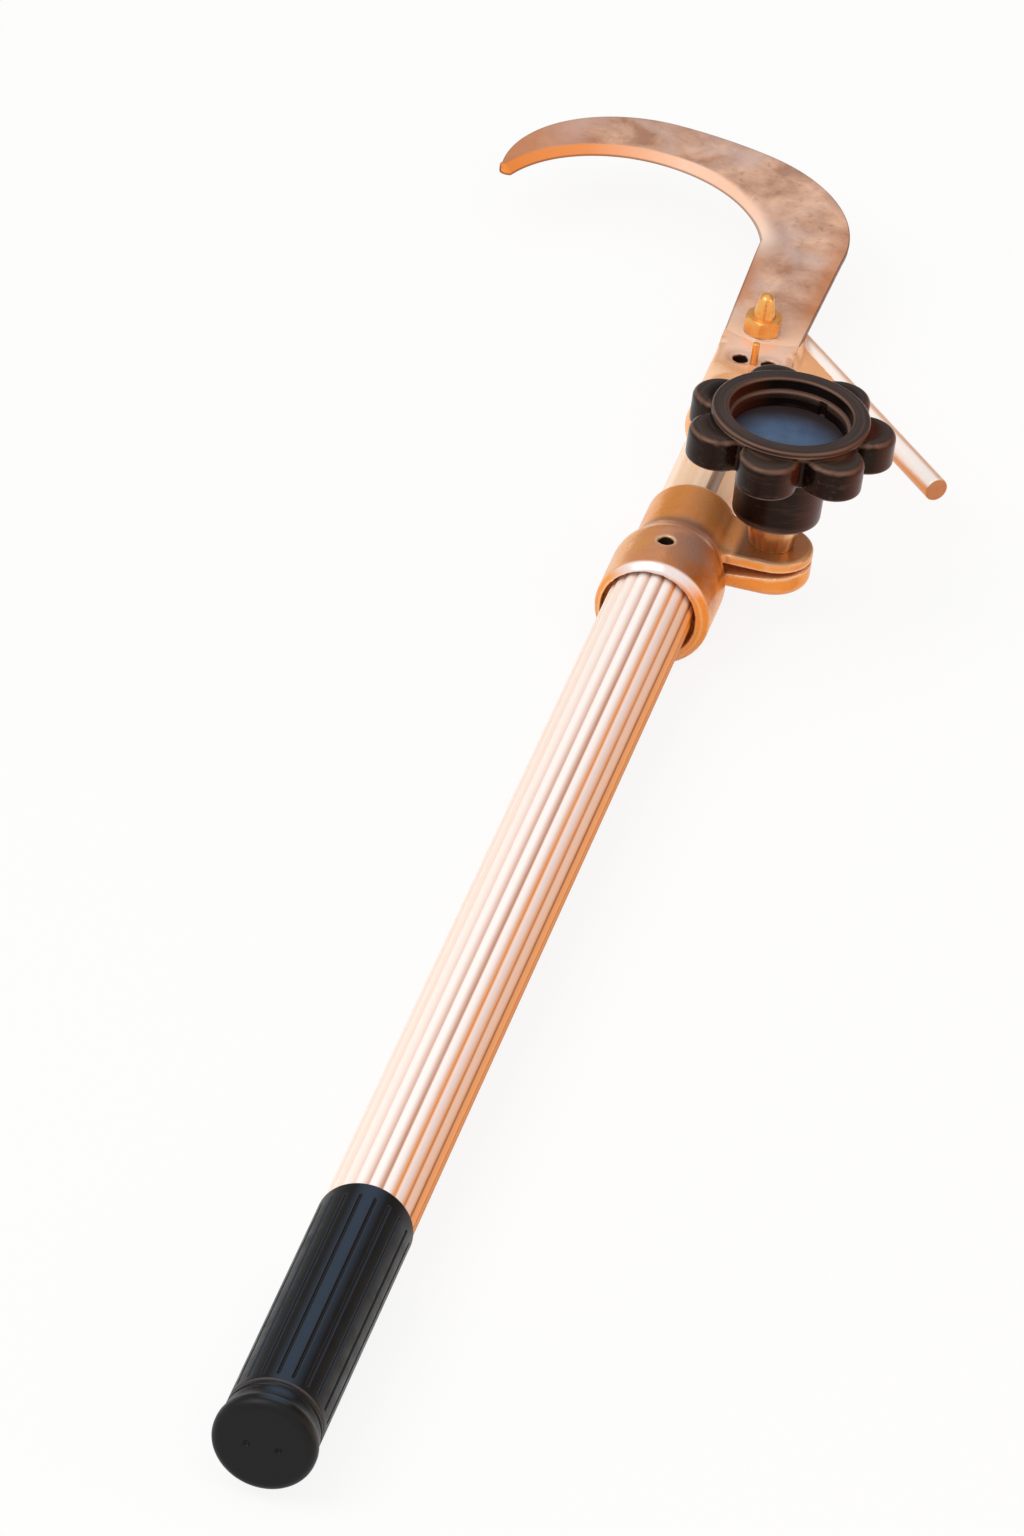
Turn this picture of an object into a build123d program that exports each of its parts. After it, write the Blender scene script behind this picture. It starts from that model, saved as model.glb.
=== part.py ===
from build123d import *
import os
from math import cos, radians, sin

# Telescopic fruit picker: a ribbed pole with a hook blade on an inner tube that a clamp collar holds.
# Millimetres. X runs along the pole from the butt cap to the hook, Y points to the side the hook
# opens to, and Z is up along the clamp screw. The origin is the centre of the butt cap's outer face.

# Outer tube, drawn with rounded lengthwise ribs
tube_crest_r = 15.0
tube_valley_r = 14.5
tube_bore_r = 13.5
tube_seat_r = 14.4
tube_start_x = 6.0
tube_end_x = 533.0
rib_count = 20
rib_share = 0.86
rib_turn = 95.0

# Butt cap and grip sleeve
cap_face_r = 13.5
cap_flange_r = 16.5
cap_rim_x = 3.0
cap_flange_end_x = 4.6
cap_flare_end_x = 9.6
cap_floor_x = 9.0
cap_skirt_end_x = 13.0
cap_plug_end_x = 34.0
cap_plug_bore_r = 10.5
cap_barb_pitch = 6.0
cap_barb_height = 0.5
cap_barb_land = 1.0
dimple_r = 1.2
dimple_depth = 0.8
dimple_spacing = 10.0
grip_r = 15.5
grip_start_x = 14.0
grip_end_x = 123.5
grip_edge = 0.6
groove_count = 20
groove_turn = 12.5
groove_width = 1.0
groove_depth = 0.5
groove_start_x = 17.0
groove_end_x = 117.5
seat_gap = 0.05
cut_past = 1.0

# Clamp collar
collar_rim_x = 501.0
collar_top_x = 563.0
collar_low_r = 19.8
collar_high_r = 16.0
collar_shift_y = -1.2
collar_lip = 2.2
collar_edge_round = 1.0
collar_mouth_r = 16.4
collar_mouth_depth = 5.0
shoulder_start_x = 525.0
shoulder_end_x = 540.0
grub_x = 518.0
grub_r = 2.7
grub_length = 2.4
grub_socket = 2.5
grub_socket_depth = 1.5

# Ears, slit and clamp screw, M8
screw_x = 551.0
screw_y = -30.4
screw_r = 4.0
screw_top_z = 46.0
screw_hole_r = 4.3
ear_top_z = 8.0
ear_low_z = -6.0
ear_end_r = 14.0
ear_end_y = -31.0
ear_root_x = 548.5
ear_root_width = 24.0
ear_root_y = -6.0
ear_root_depth = 8.0
ear_top_round = 1.6
ear_low_round = 4.0
slit_root_z = (-1.2, 4.2)
slit_tip_z = (3.2, 4.0)
slit_start_x = 534.0
cup_head_r = 8.0
cup_head_height = 3.5
cup_head_rim = 0.8
square_neck = 3.5
square_gap = 0.1
thread_chamfer = 0.8

# Inner tube with its rolled anti-turn groove
inner_r = 13.0
inner_wall = 1.4
inner_start_x = 232.5
inner_end_x = 642.0
slide_gap = 0.05
key_centre_r = 14.7
key_groove_r = 2.6
key_gap = 0.3
key_angle = 22.5
plug_head = 8.0
plug_spigot = 20.0
plug_wall = 4.0
plug_edge = 1.0
plug_pin_r = 2.0
plug_pin_sink = 0.5
pin_gap = 0.02

# Thrust bush and star knob
bush_top_z = 20.0
bush_low_r = 7.2
bush_high_r = 9.5
bush_land = 2.4
bush_edge = 0.4
hub_r = 15.0
hub_edge = 0.8
hub_draft = 0.6
lobe_low_z = 45.0
lobe_high_z = 57.0
ring_top_z = 60.0
ring_r = 27.0
ring_round = 1.6
ring_sink = 2.0
ring_under = 0.8
core_r = 25.0
lobe_count = 7
lobe_r = 10.3
lobe_tip_r = 36.0
lobe_angle = 177.0
lobe_top_round = 2.6
lobe_foot_round = 1.2
cup_r = 20.8
cup_lip = 1.2
cup_ledge_z = 55.5
cup_ledge_slope = 0.6
cup_floor_r = 19.5
cup_floor_z = 48.5
disc_thick = 1.5
disc_edge = 0.4
insert_r = 6.5
insert_top_z = 44.0
anchor_heights = (26.0, 35.0)
anchor_width = 5.0
anchor_depth = 1.0
notch_angle = -23.0
notch_width = 3.0
notch_depth = 2.0

# Head socket: oval sleeve, lofted into a flat tongue with a step that seats the blade
sleeve_start_x = 626.0
sleeve_end_x = 640.0
sleeve_width = 33.0
sleeve_height = 31.2
sleeve_round = 1.5
tongue_start_x = 657.0
tongue_end_x = 700.0
tongue_y = 2.3
tongue_width = 27.2
tongue_low_z = -6.0
tongue_round = 4.0
tongue_end_round = 7.0
seat_z = 5.5
spare_hole_x = 664.0
spare_hole_y = 1.3
spare_hole_spacing = 10.2
spare_hole_r = 2.65
peg_x = 662.5
peg_r = 1.3
peg_top_z = 15.5
peg_depth = 8.0
peg_round = 0.6
rivet_x = 633.0
rivet_r = 2.4
rivet_head = 2.0

# Spur rod and the web whose edge carries it
spur_root = (690.0, -13.0)
spur_turn = 221.3
spur_r = 4.25
spur_inner_end = -6.0
spur_outer_end = 92.5
spur_edge_round = 0.6
web_start = (648.5, -13.5)
web_hollow = (660.0, -18.5)
web_length = 28.0
web_inner_y = -8.0
web_half = 3.5
spur_pin_at = 10.0
spur_pin_in = -9.0
spur_pin_out = 3.9
spur_pin_r = 1.5

# Hook blade and its M8 bolt
blade_thick = 2.5
blade_start_x = 670.0
tang_side_x = 675.0
tang_inner_y = 15.5
tang_outer_y = -11.2
shank_start = (697.3, 16.4)
shank_outer_end = (743.0, -12.5)
hook_heel = (745.6, 17.8)
hook_throat = (772.6, 36.7)
hook_side_in = (782.1, 60.5)
hook_tip_in = (752.0, 110.2)
hook_tip = (752.0, 113.4)
hook_tip_out = (756.5, 114.7)
hook_bend_out = (768.5, -8.7)
hook_back_out = (802.4, 27.5)
hook_side_out = (808.9, 62.4)
tang_gap = 0.2
bevel_width = 5.0
bevel_edge = 0.8
bolt_x = 682.0
bolt_y = 3.0
bolt_r = 4.0
bolt_top_z = 24.0
bolt_taper = 1.2
bolt_dome = 2.6
bolt_hole_r = 4.2
bolt_across_flats = 12.0
bolt_head_height = 5.3
nut_height = 6.2
nut_chamfer = 0.8
washer_r = 6.7
washer_thick = 1.2

hex_corner = 1 / cos(radians(30))
blade_top_z = seat_z + blade_thick
nut_low_z = blade_top_z + washer_thick


def polar(radius, angle):
    """Point at a radius and an angle in degrees."""
    return (radius * cos(radians(angle)), radius * sin(radians(angle)))


def turned_on_pole(outline):
    """Solid of revolution about the pole axis, from (x, radius) edges."""
    return revolve(make_face(outline), Axis.X)


def turned_upright(x, y, outline):
    """Solid of revolution about Z at a plan position, from (radius, z) edges."""
    return Pos(x, y, 0) * revolve(Plane.XZ * make_face(outline), Axis.Z)


def turned_on_screw(outline):
    """Solid of revolution about the clamp screw, from (radius, z) edges."""
    return turned_upright(screw_x, screw_y, outline)


def upright(x, y, radius, low_z, high_z):
    """Cylinder along Z between two heights."""
    return Pos(x, y, (low_z + high_z) / 2) * Cylinder(radius, high_z - low_z)


def along_pole(radius, start_x, end_x):
    """Cylinder on the pole axis between two stations."""
    return Pos((start_x + end_x) / 2, 0, 0) * Rot(Y=90) * Cylinder(radius, end_x - start_x)


def hexagon(x, y, across_flats, low_z, high_z):
    """Hexagonal prism along Z between two heights, with flats to both sides of the pole."""
    profile = RegularPolygon(across_flats / 2 * hex_corner, 6)
    return Pos(x, y, low_z) * extrude(profile, high_z - low_z)


def dome(foot_r, foot, top):
    """Arc of a sphere cap from (foot_r, foot) to the axis at (0, top), rising or hanging."""
    sphere_r = (foot_r**2 + (top - foot) ** 2) / (2 * (top - foot))
    chord_r = foot_r / 2
    middle = top - sphere_r * (1 - (1 - (chord_r / sphere_r) ** 2) ** 0.5)
    return ThreePointArc((foot_r, foot), (chord_r, middle), (0, top))


def ribbed_section():
    """Tube section: rounded ribs round the rim."""
    pitch = 360 / rib_count
    half_rib = pitch * rib_share / 2
    edges = []
    for k in range(rib_count):
        mid = rib_turn + k * pitch
        start = polar(tube_valley_r, mid - half_rib)
        end = polar(tube_valley_r, mid + half_rib)
        edges.append(ThreePointArc(start, polar(tube_crest_r, mid), end))
        valley_end = polar(tube_valley_r, mid + pitch - half_rib)
        edges.append(ThreePointArc(end, polar(tube_valley_r, mid + pitch / 2), valley_end))
    return make_face(edges)


def outer_tube():
    """Drawn tube with its ribs turned away where the grip sits."""
    blank = Pos(tube_start_x, 0, 0) * extrude(Plane.YZ * ribbed_section(), tube_end_x - tube_start_x)
    seat = along_pole(tube_crest_r + cut_past, tube_start_x, grip_end_x)
    seat -= along_pole(tube_seat_r, tube_start_x, grip_end_x)
    return blank - seat - along_pole(tube_bore_r, tube_start_x, tube_end_x)


def butt_cap():
    """Moulded cap: flared flange, skirt over the tube's end, and a hollow barbed plug in its bore."""
    skirt_bore = tube_seat_r + seat_gap
    plug_r = tube_bore_r - seat_gap
    root_r = plug_r - cap_barb_height
    face = Line((0, 0), (0, cap_face_r))
    rim = TangentArc([(cap_rim_x, cap_flange_r), (0, cap_face_r)], tangent=(-1, 0))
    flange = Line((cap_rim_x, cap_flange_r), (cap_flange_end_x, cap_flange_r))
    flare = TangentArc([(cap_flare_end_x, grip_r), (cap_flange_end_x, cap_flange_r)], tangent=(-1, 0))
    points = [(cap_flare_end_x, grip_r), (cap_skirt_end_x, grip_r), (cap_skirt_end_x, skirt_bore)]
    points += [(tube_start_x, skirt_bore), (tube_start_x, root_r)]
    barb_x = cap_skirt_end_x
    while barb_x + cap_barb_pitch < cap_plug_end_x:
        points += [(barb_x, root_r), (barb_x, plug_r), (barb_x + cap_barb_pitch - cap_barb_land, root_r)]
        barb_x += cap_barb_pitch
    points += [(cap_plug_end_x, root_r), (cap_plug_end_x, cap_plug_bore_r)]
    points += [(cap_floor_x, cap_plug_bore_r), (cap_floor_x, 0), (0, 0)]
    cap = turned_on_pole([face, rim, flange, flare, Polyline(points)])
    for side in (-1, 1):
        cap -= Pos(0, side * dimple_spacing / 2, 0) * Rot(Y=90) * Cylinder(dimple_r, 2 * dimple_depth)
    return cap


def grip_sleeve():
    """Moulded sleeve with thin lengthwise grooves that stop short of both ends."""
    bore = tube_seat_r + seat_gap
    outline = Polyline(
        (grip_start_x, bore),
        (grip_start_x, grip_r - grip_edge),
        (grip_start_x + grip_edge, grip_r),
        (grip_end_x - grip_edge, grip_r),
        (grip_end_x, grip_r - grip_edge),
        (grip_end_x, bore),
        (grip_start_x, bore),
    )
    sleeve = turned_on_pole(outline)
    length = groove_end_x - groove_start_x
    groove = extrude(SlotOverall(length, groove_width), groove_depth + cut_past)
    groove = Pos((groove_start_x + groove_end_x) / 2, 0, grip_r - groove_depth) * groove
    return sleeve - [Rot(X=groove_turn + k * 360 / groove_count) * groove for k in range(groove_count)]


def key_centre():
    """Centre, in the tube's section, of the rolled groove and of the key that rides in it."""
    return polar(key_centre_r, 90 + key_angle)


def clamp_collar():
    """Cast collar: wide barrel on the outer tube, narrow split barrel on the inner tube, two ears.
    Both barrels stand a little towards the ears, where their walls are thicker."""
    middle = ((shoulder_start_x + shoulder_end_x) / 2, (collar_low_r + collar_high_r) / 2)
    rim = [(collar_rim_x, 0), (collar_rim_x, collar_low_r - collar_lip)]
    rim += [(collar_rim_x + collar_lip, collar_low_r), (shoulder_start_x, collar_low_r)]
    crown = TangentArc([(shoulder_start_x, collar_low_r), middle], tangent=(1, 0))
    neck = TangentArc([middle, (shoulder_end_x, collar_high_r)], tangent=crown % 1)
    barrel = [(shoulder_end_x, collar_high_r), (collar_top_x, collar_high_r), (collar_top_x, 0)]
    casting = turned_on_pole([Polyline(rim), crown, neck, Polyline(barrel + [(collar_rim_x, 0)])])
    casting = Pos(0, collar_shift_y, 0) * fillet(casting.edges().group_by(Axis.X)[-1], collar_edge_round)

    root = Pos(ear_root_x, ear_root_y) * Rectangle(ear_root_width, ear_root_depth)
    tip = Pos(screw_x, ear_end_y) * Circle(ear_end_r)
    plan = make_hull(root.edges() + tip.edges())
    ears = Pos(0, 0, ear_low_z) * extrude(plan, ear_top_z - ear_low_z)
    ears = fillet(ears.edges().group_by(Axis.Z)[-1], ear_top_round)
    casting += fillet(ears.edges().group_by(Axis.Z)[0], ear_low_round)

    bore = Circle(inner_r + slide_gap) - Pos(*key_centre()) * Circle(key_groove_r - key_gap)
    bore_length = collar_top_x - tube_end_x + 2 * cut_past
    casting -= Pos(tube_end_x - cut_past, 0, 0) * extrude(Plane.YZ * bore, bore_length)
    casting -= along_pole(tube_crest_r + seat_gap, collar_rim_x - cut_past, tube_end_x)
    casting -= along_pole(collar_mouth_r, collar_rim_x - cut_past, collar_rim_x + collar_mouth_depth)
    tip_y = ear_end_y - ear_end_r - cut_past
    slit = Polyline(
        (ear_root_y, slit_root_z[0]),
        (tip_y, slit_tip_z[0]),
        (tip_y, slit_tip_z[1]),
        (ear_root_y, slit_root_z[1]),
        (ear_root_y, slit_root_z[0]),
    )
    slit_length = screw_x + ear_end_r - slit_start_x + cut_past
    casting -= Pos(slit_start_x, 0, 0) * extrude(Plane.YZ * make_face(slit), slit_length)
    casting -= upright(screw_x, screw_y, screw_hole_r, ear_low_z - cut_past, ear_top_z + cut_past)
    casting -= bolt_neck(screw_r + square_gap, ear_low_z - cut_past)
    return casting - upright(grub_x, 0, grub_r, 0, collar_low_r + cut_past)


def collar_grub_screw():
    """Flat-point socket screw, sunk in the collar's crown and bearing on a rib of the outer tube."""
    low_z = tube_crest_r + seat_gap
    high_z = low_z + grub_length
    screw = upright(grub_x, 0, grub_r - seat_gap, low_z, high_z)
    return screw - hexagon(grub_x, 0, grub_socket, high_z - grub_socket_depth, high_z)


def bolt_neck(half, low_z):
    """Square neck that keeps the clamp bolt from turning in the lower ear."""
    high_z = ear_low_z + square_neck
    return Pos(screw_x, screw_y, low_z) * extrude(Rectangle(2 * half, 2 * half), high_z - low_z)


def clamp_bolt():
    """M8 coach bolt up through both ears: low cup head, square neck, plain shank."""
    rim_z = ear_low_z - cup_head_rim
    low_z = ear_low_z - cup_head_height
    end_r = screw_r - thread_chamfer
    side = [(cup_head_r, rim_z), (cup_head_r, ear_low_z), (screw_r, ear_low_z)]
    side += [(screw_r, screw_top_z - thread_chamfer), (end_r, screw_top_z), (0, screw_top_z), (0, low_z)]
    bolt = turned_on_screw([dome(cup_head_r, rim_z, low_z), Polyline(side)])
    return bolt + bolt_neck(screw_r, ear_low_z)


def thrust_bush():
    """Turned steel bush, wider at the knob, that presses on the upper ear."""
    outline = Polyline(
        (screw_hole_r, ear_top_z),
        (bush_low_r, ear_top_z),
        (bush_low_r + bush_edge, ear_top_z + bush_edge),
        (bush_high_r, bush_top_z - bush_land),
        (bush_high_r, bush_top_z),
        (screw_hole_r, bush_top_z),
        (screw_hole_r, ear_top_z),
    )
    return turned_on_screw(outline)


def knob_insert():
    """Brass insert moulded into the knob's hub, with two anchor grooves."""
    bore_r = screw_r + slide_gap
    root_r = insert_r - anchor_depth
    points = [(bore_r, bush_top_z), (insert_r, bush_top_z)]
    for low_z in anchor_heights:
        high_z = low_z + anchor_width
        points += [(insert_r, low_z), (root_r, low_z + anchor_depth)]
        points += [(root_r, high_z - anchor_depth), (insert_r, high_z)]
    points += [(insert_r, insert_top_z), (bore_r, insert_top_z), (bore_r, bush_top_z)]
    return turned_on_screw(Polyline(points))


def knob_disc():
    """Plain disc that closes the floor of the knob's cup."""
    disc = upright(screw_x, screw_y, cup_floor_r - seat_gap, cup_floor_z, cup_floor_z + disc_thick)
    return chamfer(disc.edges().sort_by(Axis.Z)[-1], disc_edge)


def knob_body():
    """Moulded star knob: tall hub, lobed wheel, raised ring and a stepped cup."""
    star = Circle(core_r)
    for k in range(lobe_count):
        star += Rot(Z=k * 360 / lobe_count) * Pos(lobe_tip_r - lobe_r, 0) * Circle(lobe_r)
    star = fillet(star.vertices(), lobe_foot_round)
    wheel = Pos(0, 0, lobe_low_z) * extrude(star, lobe_high_z - lobe_low_z)
    wheel = fillet(wheel.edges().group_by(Axis.Z)[-1], lobe_top_round)
    wheel = fillet(wheel.edges().group_by(Axis.Z)[0], lobe_foot_round)
    body = Pos(screw_x, screw_y, 0) * Rot(Z=lobe_angle) * wheel

    hub_top_z = lobe_low_z + lobe_foot_round
    hub = Polyline(
        (0, bush_top_z),
        (hub_r - hub_edge, bush_top_z),
        (hub_r, bush_top_z + hub_edge),
        (hub_r + hub_draft, hub_top_z),
        (0, hub_top_z),
        (0, bush_top_z),
    )
    body += turned_on_screw(hub)
    ring_low_z = lobe_high_z - ring_sink
    ring_side = (ring_r, ring_top_z - ring_round)
    ring_edge = (ring_r - ring_round, ring_top_z)
    ring_foot = [(0, ring_low_z), (core_r, ring_low_z), (core_r, lobe_high_z)]
    ring_foot += [(ring_r, lobe_high_z + ring_under), ring_side]
    ring_top = TangentArc([ring_side, ring_edge], tangent=(0, 1))
    ring_cap = Polyline(ring_edge, (0, ring_top_z), (0, ring_low_z))
    body += turned_on_screw([Polyline(ring_foot), ring_top, ring_cap])

    lip_z = ring_top_z - cup_lip
    lip = TangentArc([(cup_r, lip_z), (cup_r + cup_lip, ring_top_z)], tangent=(0, 1))
    cup = [(cup_r, lip_z), (cup_r, cup_ledge_z), (cup_floor_r, cup_ledge_z - cup_ledge_slope)]
    cup += [(cup_floor_r, cup_floor_z), (0, cup_floor_z), (0, ring_top_z), (cup_r + cup_lip, ring_top_z)]
    body -= turned_on_screw([lip, Polyline(cup)])
    notch_foot = cup_floor_z + disc_thick
    notch = extrude(Rectangle(notch_depth, notch_width), cup_ledge_z - notch_foot)
    body -= Pos(screw_x, screw_y, notch_foot) * Rot(Z=notch_angle) * Pos(cup_floor_r, 0, 0) * notch

    body -= upright(screw_x, screw_y, screw_hole_r, insert_top_z, cup_floor_z)
    body -= upright(screw_x, screw_y, screw_r + slide_gap, bush_top_z, insert_top_z)
    return body - knob_insert()


def inner_tube():
    """Smooth tube with one groove rolled along it, which the collar's key follows."""
    centre = Pos(*key_centre())
    outside = Circle(inner_r) - centre * Circle(key_groove_r)
    inside = Circle(inner_r - inner_wall) - centre * Circle(key_groove_r + inner_wall)
    tube = Pos(inner_start_x, 0, 0) * extrude(Plane.YZ * (outside - inside), inner_end_x - inner_start_x)
    pin_x = inner_start_x + plug_spigot / 2
    tube -= Pos(pin_x, 0, 0) * Rot(X=90) * Cylinder(plug_pin_r, 3 * inner_r)
    return tube - upright(rivet_x, 0, rivet_r, -sleeve_height, sleeve_height)


def slide_plug():
    """Plastic plug in the inner tube's foot: it guides the tube and stops it in the collar."""
    head_r = tube_bore_r - slide_gap
    spigot_r = inner_r - inner_wall - seat_gap
    bore_r = spigot_r - plug_wall
    start_x = inner_start_x - plug_head
    end_x = inner_start_x + plug_spigot
    outline = Polyline(
        (start_x, bore_r),
        (start_x, head_r - plug_edge),
        (start_x + plug_edge, head_r),
        (inner_start_x, head_r),
        (inner_start_x, spigot_r),
        (end_x - plug_edge, spigot_r),
        (end_x, spigot_r - plug_edge),
        (end_x, bore_r),
        (start_x, bore_r),
    )
    plug = turned_on_pole(outline)
    rolled = Pos(*key_centre()) * Circle(key_groove_r + inner_wall + key_gap)
    plug -= Pos(inner_start_x, 0, 0) * extrude(Plane.YZ * rolled, plug_spigot)
    pin_x = inner_start_x + plug_spigot / 2
    return plug - Pos(pin_x, 0, 0) * Rot(X=90) * Cylinder(plug_pin_r, 3 * inner_r)


def plug_pin():
    """Cross pin that holds the plug in the inner tube, its ends below the tube's skin."""
    pin_x = inner_start_x + plug_spigot / 2
    return Pos(pin_x, 0, 0) * Rot(X=90) * Cylinder(plug_pin_r - pin_gap, 2 * (inner_r - plug_pin_sink))


def on_spur(solid):
    """Carries a solid drawn along +X from the spur's root to the spur's own line."""
    return Pos(spur_root[0], spur_root[1], 0) * Rot(Z=spur_turn) * solid


def spur_point(along, across):
    """Plan position of a point given along and across the spur's line."""
    run_x, run_y = polar(1, spur_turn)
    return (spur_root[0] + along * run_x - across * run_y, spur_root[1] + along * run_y + across * run_x)


def across_spur(radius, inner, outer):
    """Level cylinder across the spur's line, from inside the web out through the rod."""
    cross = Rot(X=90) * Cylinder(radius, outer - inner)
    return on_spur(Pos(spur_pin_at, (inner + outer) / 2, 0) * cross)


def spur_rod():
    """Straight round rod that points back from the head, to pull branches down."""
    rod = along_pole(spur_r, spur_inner_end, spur_outer_end)
    rod = fillet(rod.edges().sort_by(Axis.X)[-1], spur_edge_round)
    return on_spur(rod) - across_spur(spur_pin_r, spur_pin_in, spur_r + cut_past)


def spur_pin():
    """Pin driven in from the rod's far side, through the rod into the web."""
    return across_spur(spur_pin_r - pin_gap, spur_pin_in, spur_pin_out)


def blade_seat(gap):
    """Plan of the step that seats the blade: bowed behind the tang, open at the sides and front."""
    side_x = tang_side_x - gap
    inner_end = (side_x, tang_inner_y + gap)
    outer_end = (side_x, tang_outer_y - gap)
    bow = ThreePointArc(outer_end, (blade_start_x - gap, tongue_y), inner_end)
    past_y = tongue_width / 2 + cut_past
    front_x = tongue_end_x + cut_past
    rest = [inner_end, (side_x, tongue_y + past_y), (front_x, tongue_y + past_y)]
    rest += [(front_x, tongue_y - past_y), (side_x, tongue_y - past_y), outer_end]
    return make_face([bow, Polyline(rest)])


def head_socket():
    """Cast head: oval sleeve lofted into a tongue that seats the blade, and a web for the spur."""
    tongue_mid_z = (tongue_low_z + blade_top_z) / 2
    tongue_height = blade_top_z - tongue_low_z
    tongue_length = tongue_end_x - tongue_start_x
    oval = RectangleRounded(sleeve_width, sleeve_height, sleeve_height / 2 - seat_gap)
    bar = Pos(tongue_y, tongue_mid_z) * RectangleRounded(tongue_width, tongue_height, tongue_round)
    sleeve = Pos(sleeve_start_x, 0, 0) * extrude(Plane.YZ * oval, sleeve_end_x - sleeve_start_x)
    sleeve = fillet(sleeve.edges().group_by(Axis.X)[0], sleeve_round)
    wide = Pos(sleeve_end_x, 0, 0) * (Plane.YZ * oval)
    flat = Pos(tongue_start_x, 0, 0) * (Plane.YZ * bar)
    neck = loft([wide, flat])
    tongue = Pos(tongue_start_x, 0, 0) * extrude(Plane.YZ * bar, tongue_length)
    plan = Pos(tongue_start_x + tongue_length / 2, tongue_y) * Rectangle(tongue_length, tongue_width)
    plan = fillet(plan.vertices().group_by(Axis.X)[-1], tongue_end_round)
    tongue &= Pos(0, 0, tongue_low_z) * extrude(plan, tongue_height)
    casting = sleeve + neck + tongue

    corner = spur_point(web_length, 0)
    hollow = ThreePointArc(web_start, web_hollow, corner)
    rest = Polyline(corner, spur_root, (spur_root[0], web_inner_y), (web_start[0], web_inner_y), web_start)
    casting += Pos(0, 0, -web_half) * extrude(make_face([hollow, rest]), 2 * web_half)

    casting -= Pos(0, 0, seat_z) * extrude(blade_seat(tang_gap), sleeve_height)
    casting -= along_pole(inner_r + seat_gap, sleeve_start_x - cut_past, inner_end_x)
    casting -= upright(rivet_x, 0, rivet_r, -sleeve_height, sleeve_height)
    past_low_z = tongue_low_z - cut_past
    past_high_z = blade_top_z + cut_past
    for side in (-1, 1):
        hole_y = spare_hole_y + side * spare_hole_spacing / 2
        casting -= upright(spare_hole_x, hole_y, spare_hole_r, past_low_z, past_high_z)
    casting -= upright(bolt_x, bolt_y, bolt_hole_r, past_low_z, past_high_z)
    casting -= upright(peg_x, spare_hole_y, peg_r, blade_top_z - peg_depth, past_high_z)
    casting -= on_spur(along_pole(spur_r + seat_gap, spur_inner_end, spur_outer_end))
    return casting - across_spur(spur_pin_r, spur_pin_in, spur_r)


def locating_peg():
    """Brass peg between the two spare holes, which places what is bolted there."""
    peg = upright(peg_x, spare_hole_y, peg_r - pin_gap, blade_top_z - peg_depth, peg_top_z)
    return fillet(peg.edges().sort_by(Axis.Z)[-1], peg_round)


def socket_rivets():
    """Domed rivets through the sleeve and the inner tube, one above and one below."""
    shank_end = inner_r - inner_wall - rivet_head / 2
    shank_r = rivet_r - pin_gap
    face_z = sleeve_height / 2
    top_z = face_z + rivet_head
    shank = Polyline((0, shank_end), (shank_r, shank_end), (shank_r, face_z), (2 * rivet_r, face_z))
    axis_line = Line((0, top_z), (0, shank_end))
    rivet = turned_upright(rivet_x, 0, [shank, dome(2 * rivet_r, face_z, top_z), axis_line])
    return Compound([rivet, Rot(X=180) * rivet])


def hook_blade():
    """Sickle blade cut from plate: tang, straight shank, tapering hook, bevel ground on the inner edge."""
    tang_outer = (tang_side_x, tang_outer_y)
    tang_inner = (tang_side_x, tang_inner_y)
    tang = ThreePointArc(tang_outer, (blade_start_x, tongue_y), tang_inner)
    inner_side = Polyline(tang_inner, shank_start, hook_heel)
    inner_low = ThreePointArc(hook_heel, hook_throat, hook_side_in)
    inner_high = TangentArc([hook_side_in, hook_tip_in], tangent=inner_low % 1)
    tip = ThreePointArc(hook_tip_in, hook_tip, hook_tip_out)
    bend = ThreePointArc(shank_outer_end, hook_bend_out, hook_back_out)
    back = TangentArc([hook_back_out, hook_side_out], tangent=bend % 1)
    crest = TangentArc([hook_side_out, hook_tip_out], tangent=back % 1)
    outer_side = Line(shank_outer_end, tang_outer)
    outline = [tang, inner_side, inner_low, inner_high, tip, crest, back, bend, outer_side]
    blade = Pos(0, 0, seat_z) * extrude(make_face(outline), blade_thick)
    lift = Vector(0, 0, blade_top_z)
    ground = [blade.edges().sort_by_distance(arc @ 0.5 + lift)[0] for arc in (inner_low, inner_high)]
    upper_face = blade.faces().sort_by(Axis.Z)[-1]
    blade = chamfer(ground, bevel_width, blade_thick - bevel_edge, reference=upper_face)
    return blade - upright(bolt_x, bolt_y, bolt_hole_r, seat_z - cut_past, blade_top_z + cut_past)


def blade_bolt():
    """M8 bolt up through tongue and blade, its free end tapered and domed."""
    head_z = tongue_low_z - bolt_head_height
    head = hexagon(bolt_x, bolt_y, bolt_across_flats, head_z, tongue_low_z)
    taper_end = (bolt_r - bolt_taper, bolt_top_z - bolt_dome)
    side = [(bolt_r, tongue_low_z), (bolt_r, nut_low_z + nut_height), taper_end]
    shank = Polyline([(0, tongue_low_z)] + side)
    cap = dome(*taper_end, bolt_top_z)
    return head + turned_upright(bolt_x, bolt_y, [shank, cap, Line((0, bolt_top_z), (0, tongue_low_z))])


def blade_nut():
    """Brass hexagon nut with both ends chamfered to the flats."""
    top_z = nut_low_z + nut_height
    flat_r = bolt_across_flats / 2
    corner_r = flat_r * hex_corner + seat_gap
    thread_r = bolt_r + seat_gap
    outline = Polyline(
        (thread_r, nut_low_z),
        (flat_r, nut_low_z),
        (corner_r, nut_low_z + nut_chamfer),
        (corner_r, top_z - nut_chamfer),
        (flat_r, top_z),
        (thread_r, top_z),
        (thread_r, nut_low_z),
    )
    envelope = turned_upright(bolt_x, bolt_y, outline)
    return envelope & hexagon(bolt_x, bolt_y, bolt_across_flats, nut_low_z, top_z)


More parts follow.
